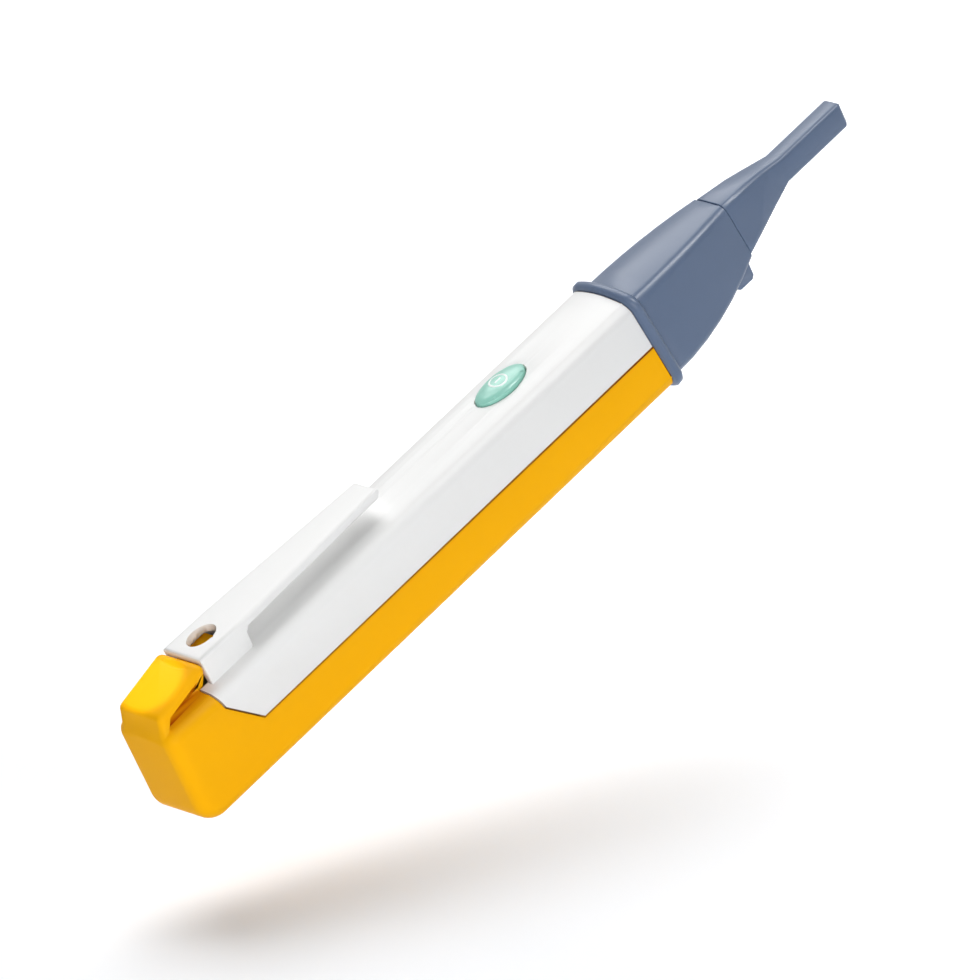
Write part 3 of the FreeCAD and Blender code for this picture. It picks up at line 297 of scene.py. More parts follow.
# %% Moulded grain: a fine pebble height
def moulded_grain():
    inputs = [("Size", "NodeSocketFloat", 2500.0), ("Wave", "NodeSocketFloat", 0.2)]
    tree, start, end = new_group("moulded_grain", inputs, [("Height", "NodeSocketFloat")])
    place = add_node(tree, "ShaderNodeTexCoord", (-5, 1))
    pebble = add_node(tree, "ShaderNodeTexNoise", (-3, 0), Detail=2.0, Roughness=0.55)
    ripple = add_node(tree, "ShaderNodeTexNoise", (-3, 1.6), Scale=90.0, Detail=1.0)
    swell = add_node(tree, "ShaderNodeMath", (-1, 1.6), operation="MULTIPLY")
    total = add_node(tree, "ShaderNodeMath", (1, 0), operation="ADD")
    wire(
        tree,
        (place, "Object", pebble, "Vector"),
        (place, "Object", ripple, "Vector"),
        (start, "Size", pebble, "Scale"),
        (ripple, "Fac", swell, 0),
        (start, "Wave", swell, 1),
        (pebble, "Fac", total, 0),
        (swell, 0, total, 1),
        (total, 0, end, "Height"),
    )
    return tree


GRAIN = moulded_grain()
print("group:", GRAIN.name)


# %% Tone drift: a colour that wanders along the flow of the melt, rubbed at edges, with painted shade in hollows and seams
def tone_drift():
    inputs = [
        ("Shade", "NodeSocketColor", (0.5, 0.5, 0.5, 1)),
        ("Other Shade", "NodeSocketColor", (0.6, 0.6, 0.6, 1)),
        ("Rubbed Shade", "NodeSocketColor", (0.7, 0.7, 0.7, 1)),
        ("Painted Hollow Shade", "NodeSocketColor", (0.2, 0.2, 0.2, 1)),
        ("Painted Seam Shade", "NodeSocketColor", (0.1, 0.1, 0.1, 1)),
        ("Drift Size", "NodeSocketFloat", 60.0),
        ("Matt", "NodeSocketFloat", 0.5),
        ("Gloss", "NodeSocketFloat", 0.4),
        ("Rub", "NodeSocketFloat", 0.3),
    ]
    outputs = [("Colour", "NodeSocketColor"), ("Roughness", "NodeSocketFloat")]
    tree, start, end = new_group("tone_drift", inputs, outputs)
    place = add_node(tree, "ShaderNodeTexCoord", (-6, 2))
    flow = add_node(tree, "ShaderNodeMapping", (-5, 2), Scale=(0.3, 1.0, 1.0))
    cloud = add_node(tree, "ShaderNodeTexNoise", (-4, 1), Detail=3.0, Roughness=0.6)
    speck = add_node(tree, "ShaderNodeTexNoise", (-4, 2.6), Scale=700.0, Detail=2.0)
    rim = add_node(tree, "ShaderNodeAttribute", (-4, 4), attribute_name="edge")
    # The gap and seam values set where painted shade stands in for light that doesn't reach.
    gap = add_node(tree, "ShaderNodeAttribute", (-1.6, 5), attribute_name="gap")
    worn = add_node(tree, "ShaderNodeMath", (-2.6, 3.4), operation="MULTIPLY")
    share = add_node(tree, "ShaderNodeMath", (-1.6, 3.4), operation="MULTIPLY", use_clamp=True)
    shade = add_node(tree, "ShaderNodeMix", (-1.6, 0), data_type="RGBA")
    rubbed = add_node(tree, "ShaderNodeMix", (0, 0), data_type="RGBA")
    deep = add_node(tree, "ShaderNodeMix", (1, 0), data_type="RGBA")
    seam = add_node(tree, "ShaderNodeAttribute", (0, 5), attribute_name="seam")
    line = add_node(tree, "ShaderNodeMix", (2, 0), data_type="RGBA")
    sheen = add_node(tree, "ShaderNodeMapRange", (0, 2))
    wire(
        tree,
        (place, "Object", flow, "Vector"),
        (flow, "Vector", cloud, "Vector"),
        (place, "Object", speck, "Vector"),
        (start, "Drift Size", cloud, "Scale"),
        (rim, "Fac", worn, 0),
        (speck, "Fac", worn, 1),
        (worn, 0, share, 0),
        (start, "Rub", share, 1),
        (cloud, "Fac", shade, "Factor"),
        (start, "Shade", shade, "A"),
        (start, "Other Shade", shade, "B"),
        (share, 0, rubbed, "Factor"),
        (shade, "Result", rubbed, "A"),
        (start, "Rubbed Shade", rubbed, "B"),
        (gap, "Fac", deep, "Factor"),
        (rubbed, "Result", deep, "A"),
        (start, "Painted Hollow Shade", deep, "B"),
        (seam, "Fac", line, "Factor"),
        (deep, "Result", line, "A"),
        (start, "Painted Seam Shade", line, "B"),
        (line, "Result", end, "Colour"),
        (cloud, "Fac", sheen, "Value"),
        (start, "Matt", sheen, "To Min"),
        (start, "Gloss", sheen, "To Max"),
        (sheen, 0, end, "Roughness"),
    )
    return tree


TONE = tone_drift()
print("group:", TONE.name)


# %% A moulded plastic from the two groups
RUB = 0.2


def colour(red, green, blue):
    """A linear colour from screen values of 0 to 255."""
    screen = [value / 255 for value in (red, green, blue)]
    return tuple(v / 12.92 if v <= 0.04045 else ((v + 0.055) / 1.055) ** 2.4 for v in screen) + (1,)


def coat(tree, group, surface):
    """Lets a group's colour and roughness cover a surface."""
    wire(tree, (group, "Colour", surface, "Base Color"), (group, "Roughness", surface, "Roughness"))


def emboss(tree, source, put, depth, surface):
    """Lets a height tilt a surface; the depth is in metres."""
    bump = add_node(tree, "ShaderNodeBump", (-1.6, 3), Strength=1.0, Distance=depth)
    wire(tree, (source, put, bump, "Height"), (bump, "Normal", surface, "Normal"))


def moulded(name, shades, matt, gloss, grain_depth, mirror=0.5, drift=60.0, seam=None):
    """Grained plastic in screen shades: the melt's two tones, its rubbed edges and a painted shade for
    hollows.

    The mirror level says how much the surface reflects, and the painted shade at seams has its own colour
    where one is given.
    """
    material, tree, surface = new_material(name)
    # deep is the painted shade for hollows, and also the painted shade at seams unless a seam colour is
    # given.
    shade, other, rubbed, deep = [colour(*screen) for screen in shades]
    tone = add_node(tree, "ShaderNodeGroup", (-3, 0), node_tree=TONE)
    grain = add_node(tree, "ShaderNodeGroup", (-3, 3), node_tree=GRAIN)
    fill(tone, {"Shade": shade, "Other Shade": other, "Rubbed Shade": rubbed, "Painted Hollow Shade": deep})
    fill(tone, {"Painted Seam Shade": colour(*seam) if seam else deep, "Drift Size": drift})
    fill(tone, {"Matt": matt, "Gloss": gloss, "Rub": RUB})
    fill(surface, {"Specular IOR Level": mirror})
    coat(tree, tone, surface)
    emboss(tree, grain, "Height", grain_depth, surface)
    return material


# Shades: the melt's two tones, the rubbed edge, then a painted shade for hollows; seam is a painted shade at
# seams.
OUTER_MOULDINGS = {
    "orange_plastic": {
        "shades": ((254, 180, 4), (255, 185, 8), (255, 200, 60), (196, 66, 2)),
        "matt": 0.5,
        "gloss": 0.42,
        "grain_depth": 6e-6,
        "mirror": 0.05,
        "seam": (124, 52, 12),
    },
    "white_plastic": {
        "shades": ((234, 234, 233), (237, 237, 236), (246, 246, 246), (176, 166, 152)),
        "matt": 0.52,
        "gloss": 0.44,
        "grain_depth": 6e-6,
        "seam": (138, 116, 96),
    },
    "green_plastic": {
        "shades": ((138, 203, 186), (146, 208, 192), (176, 224, 211), (44, 92, 80)),
        "matt": 0.34,
        "gloss": 0.26,
        "grain_depth": 3e-6,
    },
    "blue_grey_plastic": {
        "shades": ((85, 102, 129), (93, 110, 137), (140, 156, 184), (28, 34, 48)),
        "matt": 0.36,
        "gloss": 0.26,
        "grain_depth": 5e-6,
        "mirror": 0.3,
    },
}
finishes = {name: moulded(name, **look) for name, look in OUTER_MOULDINGS.items()}
print("mouldings:", sorted(finishes))

# %% [markdown]
# ## Finishes inside
# With the cover off, the works show: cells, contacts, a circuit board and its parts. The small black, red
# and resin parts are mouldings too. Drawn and rolled metal has fine streaks along its length, which could
# be a picture but is here one more group, stretched noise that moves the tone, the gloss and the height
# together.


# %% Small mouldings
# As for the outer mouldings, the fourth shade of each is a painted shade for hollows.
INNER_MOULDINGS = {
    "black_plastic": {
        "shades": ((34, 34, 36), (42, 42, 44), (70, 70, 72), (10, 10, 10)),
        "matt": 0.62,
        "gloss": 0.5,
        "grain_depth": 8e-6,
        "drift": 200.0,
    },
    "red_plastic": {
        "shades": ((172, 38, 32), (182, 46, 38), (214, 92, 84), (84, 14, 12)),
        "matt": 0.5,
        "gloss": 0.38,
        "grain_depth": 5e-6,
        "drift": 200.0,
    },
    "lamp_resin": {
        "shades": ((236, 232, 196), (242, 240, 214), (248, 247, 236), (150, 142, 104)),
        "matt": 0.3,
        "gloss": 0.2,
        "grain_depth": 2e-6,
        "drift": 300.0,
    },
}
finishes.update({name: moulded(name, **look) for name, look in INNER_MOULDINGS.items()})
print("small mouldings added, finishes so far:", len(finishes))


# %% Drawn metal: streaks along the length
def metal_streaks():
    inputs = [
        ("Tone", "NodeSocketColor", (0.6, 0.6, 0.6, 1)),
        ("Other Tone", "NodeSocketColor", (0.7, 0.7, 0.7, 1)),
        ("Smooth", "NodeSocketFloat", 0.2),
        ("Rough", "NodeSocketFloat", 0.4),
        ("Streak Size", "NodeSocketFloat", 4000.0),
    ]
    outputs = [
        ("Colour", "NodeSocketColor"),
        ("Roughness", "NodeSocketFloat"),
        ("Height", "NodeSocketFloat"),
    ]
    tree, start, end = new_group("metal_streaks", inputs, outputs)
    place = add_node(tree, "ShaderNodeTexCoord", (-5, 1))
    drawn = add_node(tree, "ShaderNodeMapping", (-4, 1), Scale=(0.04, 1.0, 1.0))
    streak = add_node(tree, "ShaderNodeTexNoise", (-3, 1), Detail=3.0, Roughness=0.6)
    stain = add_node(tree, "ShaderNodeTexNoise", (-3, 2.6), Scale=350.0, Detail=2.0)
    both = add_node(tree, "ShaderNodeMath", (-1.6, 2), operation="MULTIPLY")
    tone = add_node(tree, "ShaderNodeMix", (0, 0), data_type="RGBA")
    gloss = add_node(tree, "ShaderNodeMapRange", (0, 2))
    wire(
        tree,
        (place, "Object", drawn, "Vector"),
        (drawn, "Vector", streak, "Vector"),
        (place, "Object", stain, "Vector"),
        (start, "Streak Size", streak, "Scale"),
        (streak, "Fac", both, 0),
        (stain, "Fac", both, 1),
        (both, 0, tone, "Factor"),
        (start, "Tone", tone, "A"),
        (start, "Other Tone", tone, "B"),
        (tone, "Result", end, "Colour"),
        (both, 0, gloss, "Value"),
        (start, "Smooth", gloss, "To Min"),
        (start, "Rough", gloss, "To Max"),
        (gloss, 0, end, "Roughness"),
        (streak, "Fac", end, "Height"),
    )
    return tree


STREAKS = metal_streaks()
print("group:", STREAKS.name)


# %% Metals from the streaks
def drawn_metal(name, tone, other, smooth, rough, depth):
    material, tree, surface = new_material(name)
    streaks = add_node(tree, "ShaderNodeGroup", (-3, 0), node_tree=STREAKS)
    fill(streaks, {"Tone": colour(*tone), "Other Tone": colour(*other), "Smooth": smooth, "Rough": rough})
    fill(surface, {"Metallic": 1.0})
    coat(tree, streaks, surface)
    emboss(tree, streaks, "Height", depth, surface)
    return material


METALS = {
    "plain_steel": ((196, 198, 200), (222, 223, 224), 0.22, 0.42, 2e-6),
    "detector_can": ((206, 186, 138), (228, 212, 170), 0.16, 0.34, 1e-6),
}
finishes.update({name: drawn_metal(name, *look) for name, look in METALS.items()})
print("metals added, finishes so far:", len(finishes))


# %% [markdown]
# ## Clear rod, cells and board
# The light guide is a clear polished rod. Each cell wears a thin printed jacket, dark with a
# copper-coloured band towards the cap end and bare metal on the ends. The board is woven glass under green
# varnish, with copper tracks that show as paler raised lines. All three are plain node work on Object
# coordinates: the place along the cell picks the band, and the way a face looks picks its end or the
# board's cut edge.


# %% Clear rod
def clear_rod():
    material, tree, surface = new_material("clear_plastic")
    tone = add_node(tree, "ShaderNodeGroup", (-3, 0), node_tree=TONE)
    fill(tone, {"Shade": colour(242, 248, 250), "Other Shade": colour(250, 252, 253)})
    fill(tone, {"Matt": 0.12, "Gloss": 0.04})
    fill(surface, {"Transmission Weight": 1.0, "IOR": 1.49})
    coat(tree, tone, surface)
    return material


finishes["clear_plastic"] = clear_rod()
print("clear rod added")


# %% Cell jackets
BAND_START = 0.72
END_FACING = 0.7


def cell_jacket():
    low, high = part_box("rear_battery")
    material, tree, surface = new_material("cell_jacket")
    place = add_node(tree, "ShaderNodeTexCoord", (-8, 0))
    parts = add_node(tree, "ShaderNodeSeparateXYZ", (-7, 0))
    facing = add_node(tree, "ShaderNodeSeparateXYZ", (-7, 2))
    along = add_node(tree, "ShaderNodeMapRange", (-6, 0), clamp=False)
    cell = add_node(tree, "ShaderNodeMath", (-5, 0), operation="FRACT")
    band = add_node(tree, "ShaderNodeMath", (-4, 0), operation="GREATER_THAN")
    sides = add_node(tree, "ShaderNodeMath", (-6, 2), operation="ABSOLUTE")
    bare = add_node(tree, "ShaderNodeMath", (-4, 2), operation="GREATER_THAN")
    print_mix = add_node(tree, "ShaderNodeMix", (-3, 0), data_type="RGBA")
    end_mix = add_node(tree, "ShaderNodeMix", (-2, 0), data_type="RGBA")
    tone = add_node(tree, "ShaderNodeGroup", (-1, 0), node_tree=TONE)
    fill(along, {"From Min": low.x, "From Max": high.x})
    fill(band, {1: BAND_START})
    fill(bare, {1: END_FACING})
    fill(print_mix, {"A": colour(30, 33, 38), "B": colour(190, 122, 66)})
    fill(end_mix, {"B": colour(206, 207, 208)})
    fill(tone, {"Matt": 0.34, "Gloss": 0.2})
    wire(
        tree,
        (place, "Object", parts, 0),
        (place, "Normal", facing, 0),
        (parts, "X", along, "Value"),
        (along, 0, cell, 0),
        (cell, 0, band, 0),
        (facing, "X", sides, 0),
        (sides, 0, bare, 0),
        (band, 0, print_mix, "Factor"),
        (print_mix, "Result", end_mix, "A"),
        (bare, 0, end_mix, "Factor"),
        (end_mix, "Result", tone, "Shade"),
        (end_mix, "Result", tone, "Other Shade"),
        (bare, 0, surface, "Metallic"),
    )
    coat(tree, tone, surface)
    return material


finishes["cell_jacket"] = cell_jacket()
print("cell jackets added")


# %% Board laminate
FIELD_SCALE = 230.0
TRACK_SCALE = 340.0
TRACK_RISE = (0.72, 0.84)
TRACK_DEPTH = 2e-5
TURNED_FIELDS = 0.5
CUT_FACING = 0.5


def board_laminate():
    material, tree, surface = new_material("board_laminate")
    place = add_node(tree, "ShaderNodeTexCoord", (-8, 0))
    facing = add_node(tree, "ShaderNodeSeparateXYZ", (-7, 3))
    fields = add_node(tree, "ShaderNodeTexVoronoi", (-7, 0), Scale=FIELD_SCALE)
    choice = add_node(tree, "ShaderNodeSeparateColor", (-6, 0))
    turned = add_node(tree, "ShaderNodeMath", (-5, 0), operation="GREATER_THAN")
    rows = add_node(tree, "ShaderNodeTexWave", (-6, 1), Scale=TRACK_SCALE, bands_direction="X")
    files = add_node(tree, "ShaderNodeTexWave", (-6, 2), Scale=TRACK_SCALE, bands_direction="Y")
    lines = add_node(tree, "ShaderNodeMix", (-4, 1))
    track = add_node(tree, "ShaderNodeMapRange", (-3, 1))
    varnish = add_node(tree, "ShaderNodeMix", (-2, 0), data_type="RGBA")
    flat = add_node(tree, "ShaderNodeMath", (-6, 3), operation="ABSOLUTE")
    cut_edge = add_node(tree, "ShaderNodeMath", (-4, 3), operation="LESS_THAN")
    edge_mix = add_node(tree, "ShaderNodeMix", (-1, 0), data_type="RGBA")
    tone = add_node(tree, "ShaderNodeGroup", (0, 2), node_tree=TONE)
    fill(turned, {1: TURNED_FIELDS})
    fill(track, {"From Min": TRACK_RISE[0], "From Max": TRACK_RISE[1]})
    fill(varnish, {"A": colour(20, 84, 56), "B": colour(52, 128, 82)})
    fill(cut_edge, {1: CUT_FACING})
    fill(edge_mix, {"B": colour(186, 172, 120)})
    fill(tone, {"Matt": 0.4, "Gloss": 0.28})
    wire(
        tree,
        (place, "Object", fields, "Vector"),
        (place, "Object", rows, "Vector"),
        (place, "Object", files, "Vector"),
        (place, "Normal", facing, 0),
        (fields, "Color", choice, 0),
        (choice, 0, turned, 0),
        (turned, 0, lines, "Factor"),
        (rows, "Fac", lines, "A"),
        (files, "Fac", lines, "B"),
        (lines, "Result", track, "Value"),
        (track, 0, varnish, "Factor"),
        (facing, "Z", flat, 0),
        (flat, 0, cut_edge, 0),
        (cut_edge, 0, edge_mix, "Factor"),
        (varnish, "Result", edge_mix, "A"),
        (edge_mix, "Result", tone, "Shade"),
        (edge_mix, "Result", tone, "Other Shade"),
    )
    coat(tree, tone, surface)
    emboss(tree, track, 0, TRACK_DEPTH, surface)
    return material


finishes["board_laminate"] = board_laminate()
print("board laminate added")

# %% Give every solid its finish
for node, solid in frame["nodes"].items():
    for place in solid.material_slots:
        place.material = finishes[node_slot[node]]
print("solids with a finish:", sum(bool(solid.material_slots) for solid in frame["nodes"].values()))

# %% [markdown]
# ## Soft edges on the outer mouldings
# A solid's edges are either sharp or cut as flats, and light slides off them too quickly. Each outer
# moulding is therefore shown by a copy of its solid: the triangles are merged, flat regions become whole
# faces, and a small bevel rounds the sharp edges that are long enough to hold it. A value for each point
# says how sharply the faces around it turn, for the rub. Two copies are also drawn a little in length: the
# hood goes forward until it covers the rear of the clip, and the clip's root makes room, so that the two
# close up as they do on the real pen.


# %% How sharp each point is
FULLY_SHARP = radians(50)


def edge_share(mesh):
    """Stores for each point how sharply the faces around it turn, from 0 to 1."""
    form = bmesh.new()
    form.from_mesh(mesh)
    share = [0.0] * len(form.verts)
    for edge in form.edges:
        if len(edge.link_faces) == 2:
            turned = min(1.0, abs(edge.calc_face_angle(0.0)) / FULLY_SHARP)
            for vert in edge.verts:
                share[vert.index] = max(share[vert.index], turned)
    form.free()
    mesh.attributes.new("edge", "FLOAT", "POINT").data.foreach_set("value", share)


# %% Draw the hood and the clip's root together
HOOD_SHIFT = ((-85.9, 0.9), (-75.2, 2.35))
HOOD_LIFT = ((-85.9, 0.0), (-75.2, 0.45))
CLIP_SHIFT = ((-74.8, 2.2), (-71.4, 0.6), (-65.6, 0.8), (-63.2, 1.1), (-55.0, 0.0))
CLIP_STRAIGHTEN = 0.55 * MM
CLIP_ROOT = -72.8 * MM
HOOD_FRONT = -75.0 * MM
HOOD_REAR = -83.7 * MM
HOOD_SLOPE = 0.15
HOOD_ABOVE = 0.5 * MM
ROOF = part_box("top_cover")[1].z


def at_stops(x, stops):
    """A value between stops, both in mm, as metres."""
    x = x / MM
    if x <= stops[0][0]:
        return stops[0][1] * MM
    for (x0, v0), (x1, v1) in zip(stops, stops[1:]):
        if x <= x1:
            return (v0 + (v1 - v0) * (x - x0) / (x1 - x0)) * MM
    return stops[-1][1] * MM


def draw_hood(form):
    """Draws the hood forward, over the root of the clip."""
    for vert in form.verts:
        x, y, z = vert.co
        above = z - ROOF - HOOD_ABOVE - HOOD_SLOPE * (x - HOOD_REAR)
        if x < HOOD_FRONT and above > 0:
            vert.co = (x + at_stops(x, HOOD_SHIFT), y, z + at_stops(x, HOOD_LIFT))


def draw_clip(form):
    """Lets the clip's root follow the hood, with its rear face along the way the cover lifts."""
    low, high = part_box("pocket_clip")
    for vert in form.verts:
        if vert.co.x < CLIP_ROOT:
            vert.co.x -= CLIP_STRAIGHTEN * (high.z - vert.co.z) / (high.z - low.z)
        vert.co.x += at_stops(vert.co.x, CLIP_SHIFT)


DRAWN = {"lower_housing": draw_hood, "pocket_clip": draw_clip}
print("drawn copies:", sorted(DRAWN))

# %% Make a soft copy of a solid
SAME_SPOT = 0.002 * MM
SAME_FACE = radians(0.5)
SHARP_EDGE = radians(28)
CREASE = radians(40)
LONG_EDGE = 1.5


def surface_tree(mesh):
    """A search tree of a mesh's faces."""
    return BVHTree.FromPolygons([v.co for v in mesh.vertices], [tuple(f.vertices) for f in mesh.polygons])


def bring_back(mesh, solid, reach):
    """Puts points that the bevel threw off back on the solid's surface."""
    for vert in mesh.vertices:
        spot, _, _, far = solid.find_nearest(vert.co)
        if far > reach:
            vert.co = spot


def merged_form(node, width):
    """A solid's triangles as whole faces, with a weight on each edge that can take the bevel."""
    form = bmesh.new()
    form.from_mesh(frame["nodes"][node].data)
    bmesh.ops.remove_doubles(form, verts=form.verts, dist=SAME_SPOT)
    bmesh.ops.dissolve_degenerate(form, edges=form.edges, dist=SAME_SPOT)
    bmesh.ops.dissolve_limit(form, angle_limit=SAME_FACE, verts=form.verts, edges=form.edges)
    if node in DRAWN:
        DRAWN[node](form)
    chosen = form.edges.layers.float.new("bevel_weight_edge")
    for edge in form.edges:
        if len(edge.link_faces) == 2 and edge.calc_length() > LONG_EDGE * width:
            edge[chosen] = float(edge.calc_face_angle(0.0) > SHARP_EDGE)
    return form


def soft_copy(node, width, segments=2, cutter=None):
    """A merged and bevelled copy of a solid that is shown in its place."""
    mesh = bpy.data.meshes.new(f"{node}_soft")
    form = merged_form(node, width)
    form.to_mesh(mesh)
    form.free()
    rough = bpy.data.objects.new(f"{node}_rough", mesh)
    scene.collection.objects.link(rough)
    if cutter:
        recess = rough.modifiers.new("recess", "BOOLEAN")
        recess.object = cutter
        recess.solver = "EXACT"
    bevel = rough.modifiers.new("soften", "BEVEL")
    bevel.width = width
    bevel.segments = segments
    bevel.limit_method = "WEIGHT"
    bevel.use_clamp_overlap = False
    graph = bpy.context.evaluated_depsgraph_get()
    smooth = bpy.data.meshes.new_from_object(rough.evaluated_get(graph))
    if not cutter:
        bring_back(smooth, surface_tree(mesh), width)
    bpy.data.objects.remove(rough)
    bpy.data.meshes.remove(mesh)
    smooth.name = f"{node}_soft"
    edge_share(smooth)
    smooth.shade_smooth()
    smooth.set_sharp_from_angle(angle=CREASE)
    smooth.materials.clear()
    smooth.materials.append(finishes[node_slot[node]])
    piece = bpy.data.objects.new(f"{node}_soft", smooth)
    scene.collection.objects.link(piece)
    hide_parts(node)
    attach(piece, node_body[node])
    return piece


SOFT_WIDTHS = {
    "lower_housing": 0.18,
    "top_cover": 0.15,
    "pocket_clip": 0.25,
    "power_button": 0.15,
    "nose_housing": 0.25,
    "probe_tip": 0.2,
}
soft = {}
for node, width in SOFT_WIDTHS.items():
    soft[node] = soft_copy(node, width * MM)
    print(node, "has", len(soft[node].data.polygons), "faces")

# %% [markdown]
# ## Painted shade in the gaps
# Where two mouldings meet, and under the hood, little light gets in. A point lies in a hollow if the ray
# along its own normal soon meets the same piece again, and at a seam if another piece is close by. The
# finishes turn to a painted shade there, on top of the lamps' own shading, which also draws the fine dark
# line between the cover and the housing as painted shade. The seam is stored at face corners, so that the
# line stays on the narrow bevel and off the broad side.


# %% Measure the gaps
SEAM_REACH = 0.36 * MM
SEAM_GAIN = 2.0
HOLLOW_REACH = 4.0 * MM
HOLLOW_GAIN = 1.8
FACING = -0.5
NARROW = 0.15 * MM
CLEAR = 0.02 * MM
PLAIN = 0.3


def hollow_depth(vert, own):
    """How soon the outward ray from a point meets its own piece again, from 0 to 1."""
    _, facing, _, far = own.ray_cast(vert.co + vert.normal * CLEAR, vert.normal, HOLLOW_REACH)
    meets = facing is not None and facing.dot(vert.normal) < FACING
    return min(1.0, HOLLOW_GAIN * (1 - far / HOLLOW_REACH)) if meets else 0.0


def seam_depth(spot, others):
    """How close the nearest other piece is, from 0 to 1."""
    gaps = [other.find_nearest(spot, SEAM_REACH)[3] for other in others]
    depths = [min(1.0, SEAM_GAIN * (1 - gap / SEAM_REACH)) for gap in gaps if gap is not None]
    return max(depths, default=0.0)


def seam_corners(mesh, others):
    """The seam's depth at each face corner, kept to narrow faces with their middle in the seam."""
    depths = [seam_depth(vert.co, others) for vert in mesh.vertices]
    corners = []
    for face in mesh.polygons:
        spots = [mesh.vertices[n].co for n in face.vertices]
        longest = max((spot - spots[n - 1]).length for n, spot in enumerate(spots))
        inside = face.area < NARROW * longest and seam_depth(face.center, others) > PLAIN
        corners += [depths[n] if inside else 0.0 for n in face.vertices]
    return corners


trees = {node: surface_tree(piece.data) for node, piece in soft.items()}
for node, piece in soft.items():
    others = [tree for other, tree in trees.items() if other != node]
    hollows = [hollow_depth(vert, trees[node]) for vert in piece.data.vertices]
    corners = seam_corners(piece.data, others)
    # gap and seam say where the finishes paint shade in hollows and along seams.
    piece.data.attributes.new("gap", "FLOAT", "POINT").data.foreach_set("value", hollows)
    piece.data.attributes.new("seam", "FLOAT", "CORNER").data.foreach_set("value", corners)
    deep, close = [sum(value > PLAIN for value in values) for values in (hollows, corners)]
    print(node, "has", deep, "points in hollows and", close, "face corners at seams")

# %% [markdown]
# ## Screws with a cross recess
# The four screws are turned and then struck with a punch that leaves the cross. The punch is a small prism
# with a cross for its outline, set into each head, and a boolean takes it out of the screw's soft copy.


# %% Strike the heads
CROSS_REACH = 0.9 * MM
CROSS_DEPTH = 0.6 * MM
CROSS_ARM = 0.2
HALF_CROSS = (
    (1, -CROSS_ARM),
    (1, CROSS_ARM),
    (CROSS_ARM, CROSS_ARM),
    (CROSS_ARM, 1),
    (-CROSS_ARM, 1),
    (-CROSS_ARM, CROSS_ARM),
)
SCREW_EDGE = 0.06 * MM


def cross_punch(node):
    """A punch for both heads of a pair of screws."""
    low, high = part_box(node)
    radius = (high.x - low.x) / 2
    outline = [*HALF_CROSS, *((-u, -v) for u, v in HALF_CROSS)]
    form = bmesh.new()
    for y in (low.y + radius, high.y - radius):
        rings = []
        for z in (high.z - CROSS_DEPTH, high.z + CROSS_DEPTH):
            middle = Vector((low.x + radius, y, z))
            spots = [middle + Vector((u, v, 0)) * CROSS_REACH for u, v in outline]
            rings.append([form.verts.new(spot) for spot in spots])
        form.faces.new(rings[0])
        form.faces.new(rings[1])
        for n in range(len(outline)):
            form.faces.new((rings[0][n - 1], rings[0][n], rings[1][n], rings[1][n - 1]))
    bmesh.ops.recalc_face_normals(form, faces=form.faces)
    mesh = bpy.data.meshes.new(f"{node}_punch")
    form.to_mesh(mesh)
    form.free()
    punch = bpy.data.objects.new(f"{node}_punch", mesh)
    scene.collection.objects.link(punch)
    return punch


for node in ("board_screws", "nose_screws"):
    punch = cross_punch(node)
    struck = soft_copy(node, SCREW_EDGE, segments=1, cutter=punch)
    bpy.data.objects.remove(punch)
    print(node, "has", len(struck.data.polygons), "faces")

# %% [markdown]
# ## Small parts on the board
# Chips stand on rows of bent legs, small blocks sit between them, and each joint has its cone of solder.
# They repeat, so each kind is one Geometry Nodes tree with its sizes as inputs, which puts copies on
# points. The result becomes a plain mesh, so that nothing in the part stays live.


# %% Tree helpers
def new_tree(name, inputs):
    """A Geometry Nodes tree with named inputs, and its first node."""
    tree = bpy.data.node_groups.new(name, "GeometryNodeTree")
    tree.interface.new_socket(name="Geometry", in_out="OUTPUT", socket_type="NodeSocketGeometry")
    tree.interface.new_socket(name="Geometry", in_out="INPUT", socket_type="NodeSocketGeometry")
    for label, kind, value in inputs:
        made = tree.interface.new_socket(name=label, in_out="INPUT", socket_type=kind)
        made.default_value = value
    return tree, add_node(tree, "NodeGroupInput", (-7, 0))


def end_tree(tree, last, finish):
    """Turns the last node's instances into real geometry with a finish and ends the tree."""
    real = add_node(tree, "GeometryNodeRealizeInstances", (5, 0))
    dressed = add_node(tree, "GeometryNodeSetMaterial", (6, 0), Material=finishes[finish])
    end = add_node(tree, "NodeGroupOutput", (7, 0))
    wire(tree, (last, 0, real, 0), (real, 0, dressed, 0), (dressed, 0, end, 0))


def grow(name, tree, points, edges, sizes):
    """Runs a tree on a seed mesh and keeps the result as a plain piece of the housing."""
    seed_mesh = bpy.data.meshes.new(f"{name}_seed")
    seed_mesh.from_pydata(points, edges, [])
    seed = bpy.data.objects.new(f"{name}_seed", seed_mesh)
    scene.collection.objects.link(seed)
    step = seed.modifiers.new("grow", "NODES")
    step.node_group = tree
    for item in tree.interface.items_tree:
        if item.in_out == "INPUT" and item.name in sizes:
            step[item.identifier] = sizes[item.name]
    graph = bpy.context.evaluated_depsgraph_get()
    mesh = bpy.data.meshes.new_from_object(seed.evaluated_get(graph))
    bpy.data.objects.remove(seed)
    bpy.data.meshes.remove(seed_mesh)
    mesh.name = name
    piece = bpy.data.objects.new(name, mesh)
    scene.collection.objects.link(piece)
    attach(piece, "housing")
    print(name, "has", len(mesh.polygons), "faces, box in mm:", [round(v / MM, 2) for v in piece.dimensions])


# %% [markdown]
# A chip's leg is a flat strip, bent out and down. Its path is drawn once as a seed, swept with a flat
# profile, copied along a row, and the row is turned half way round for the other side.


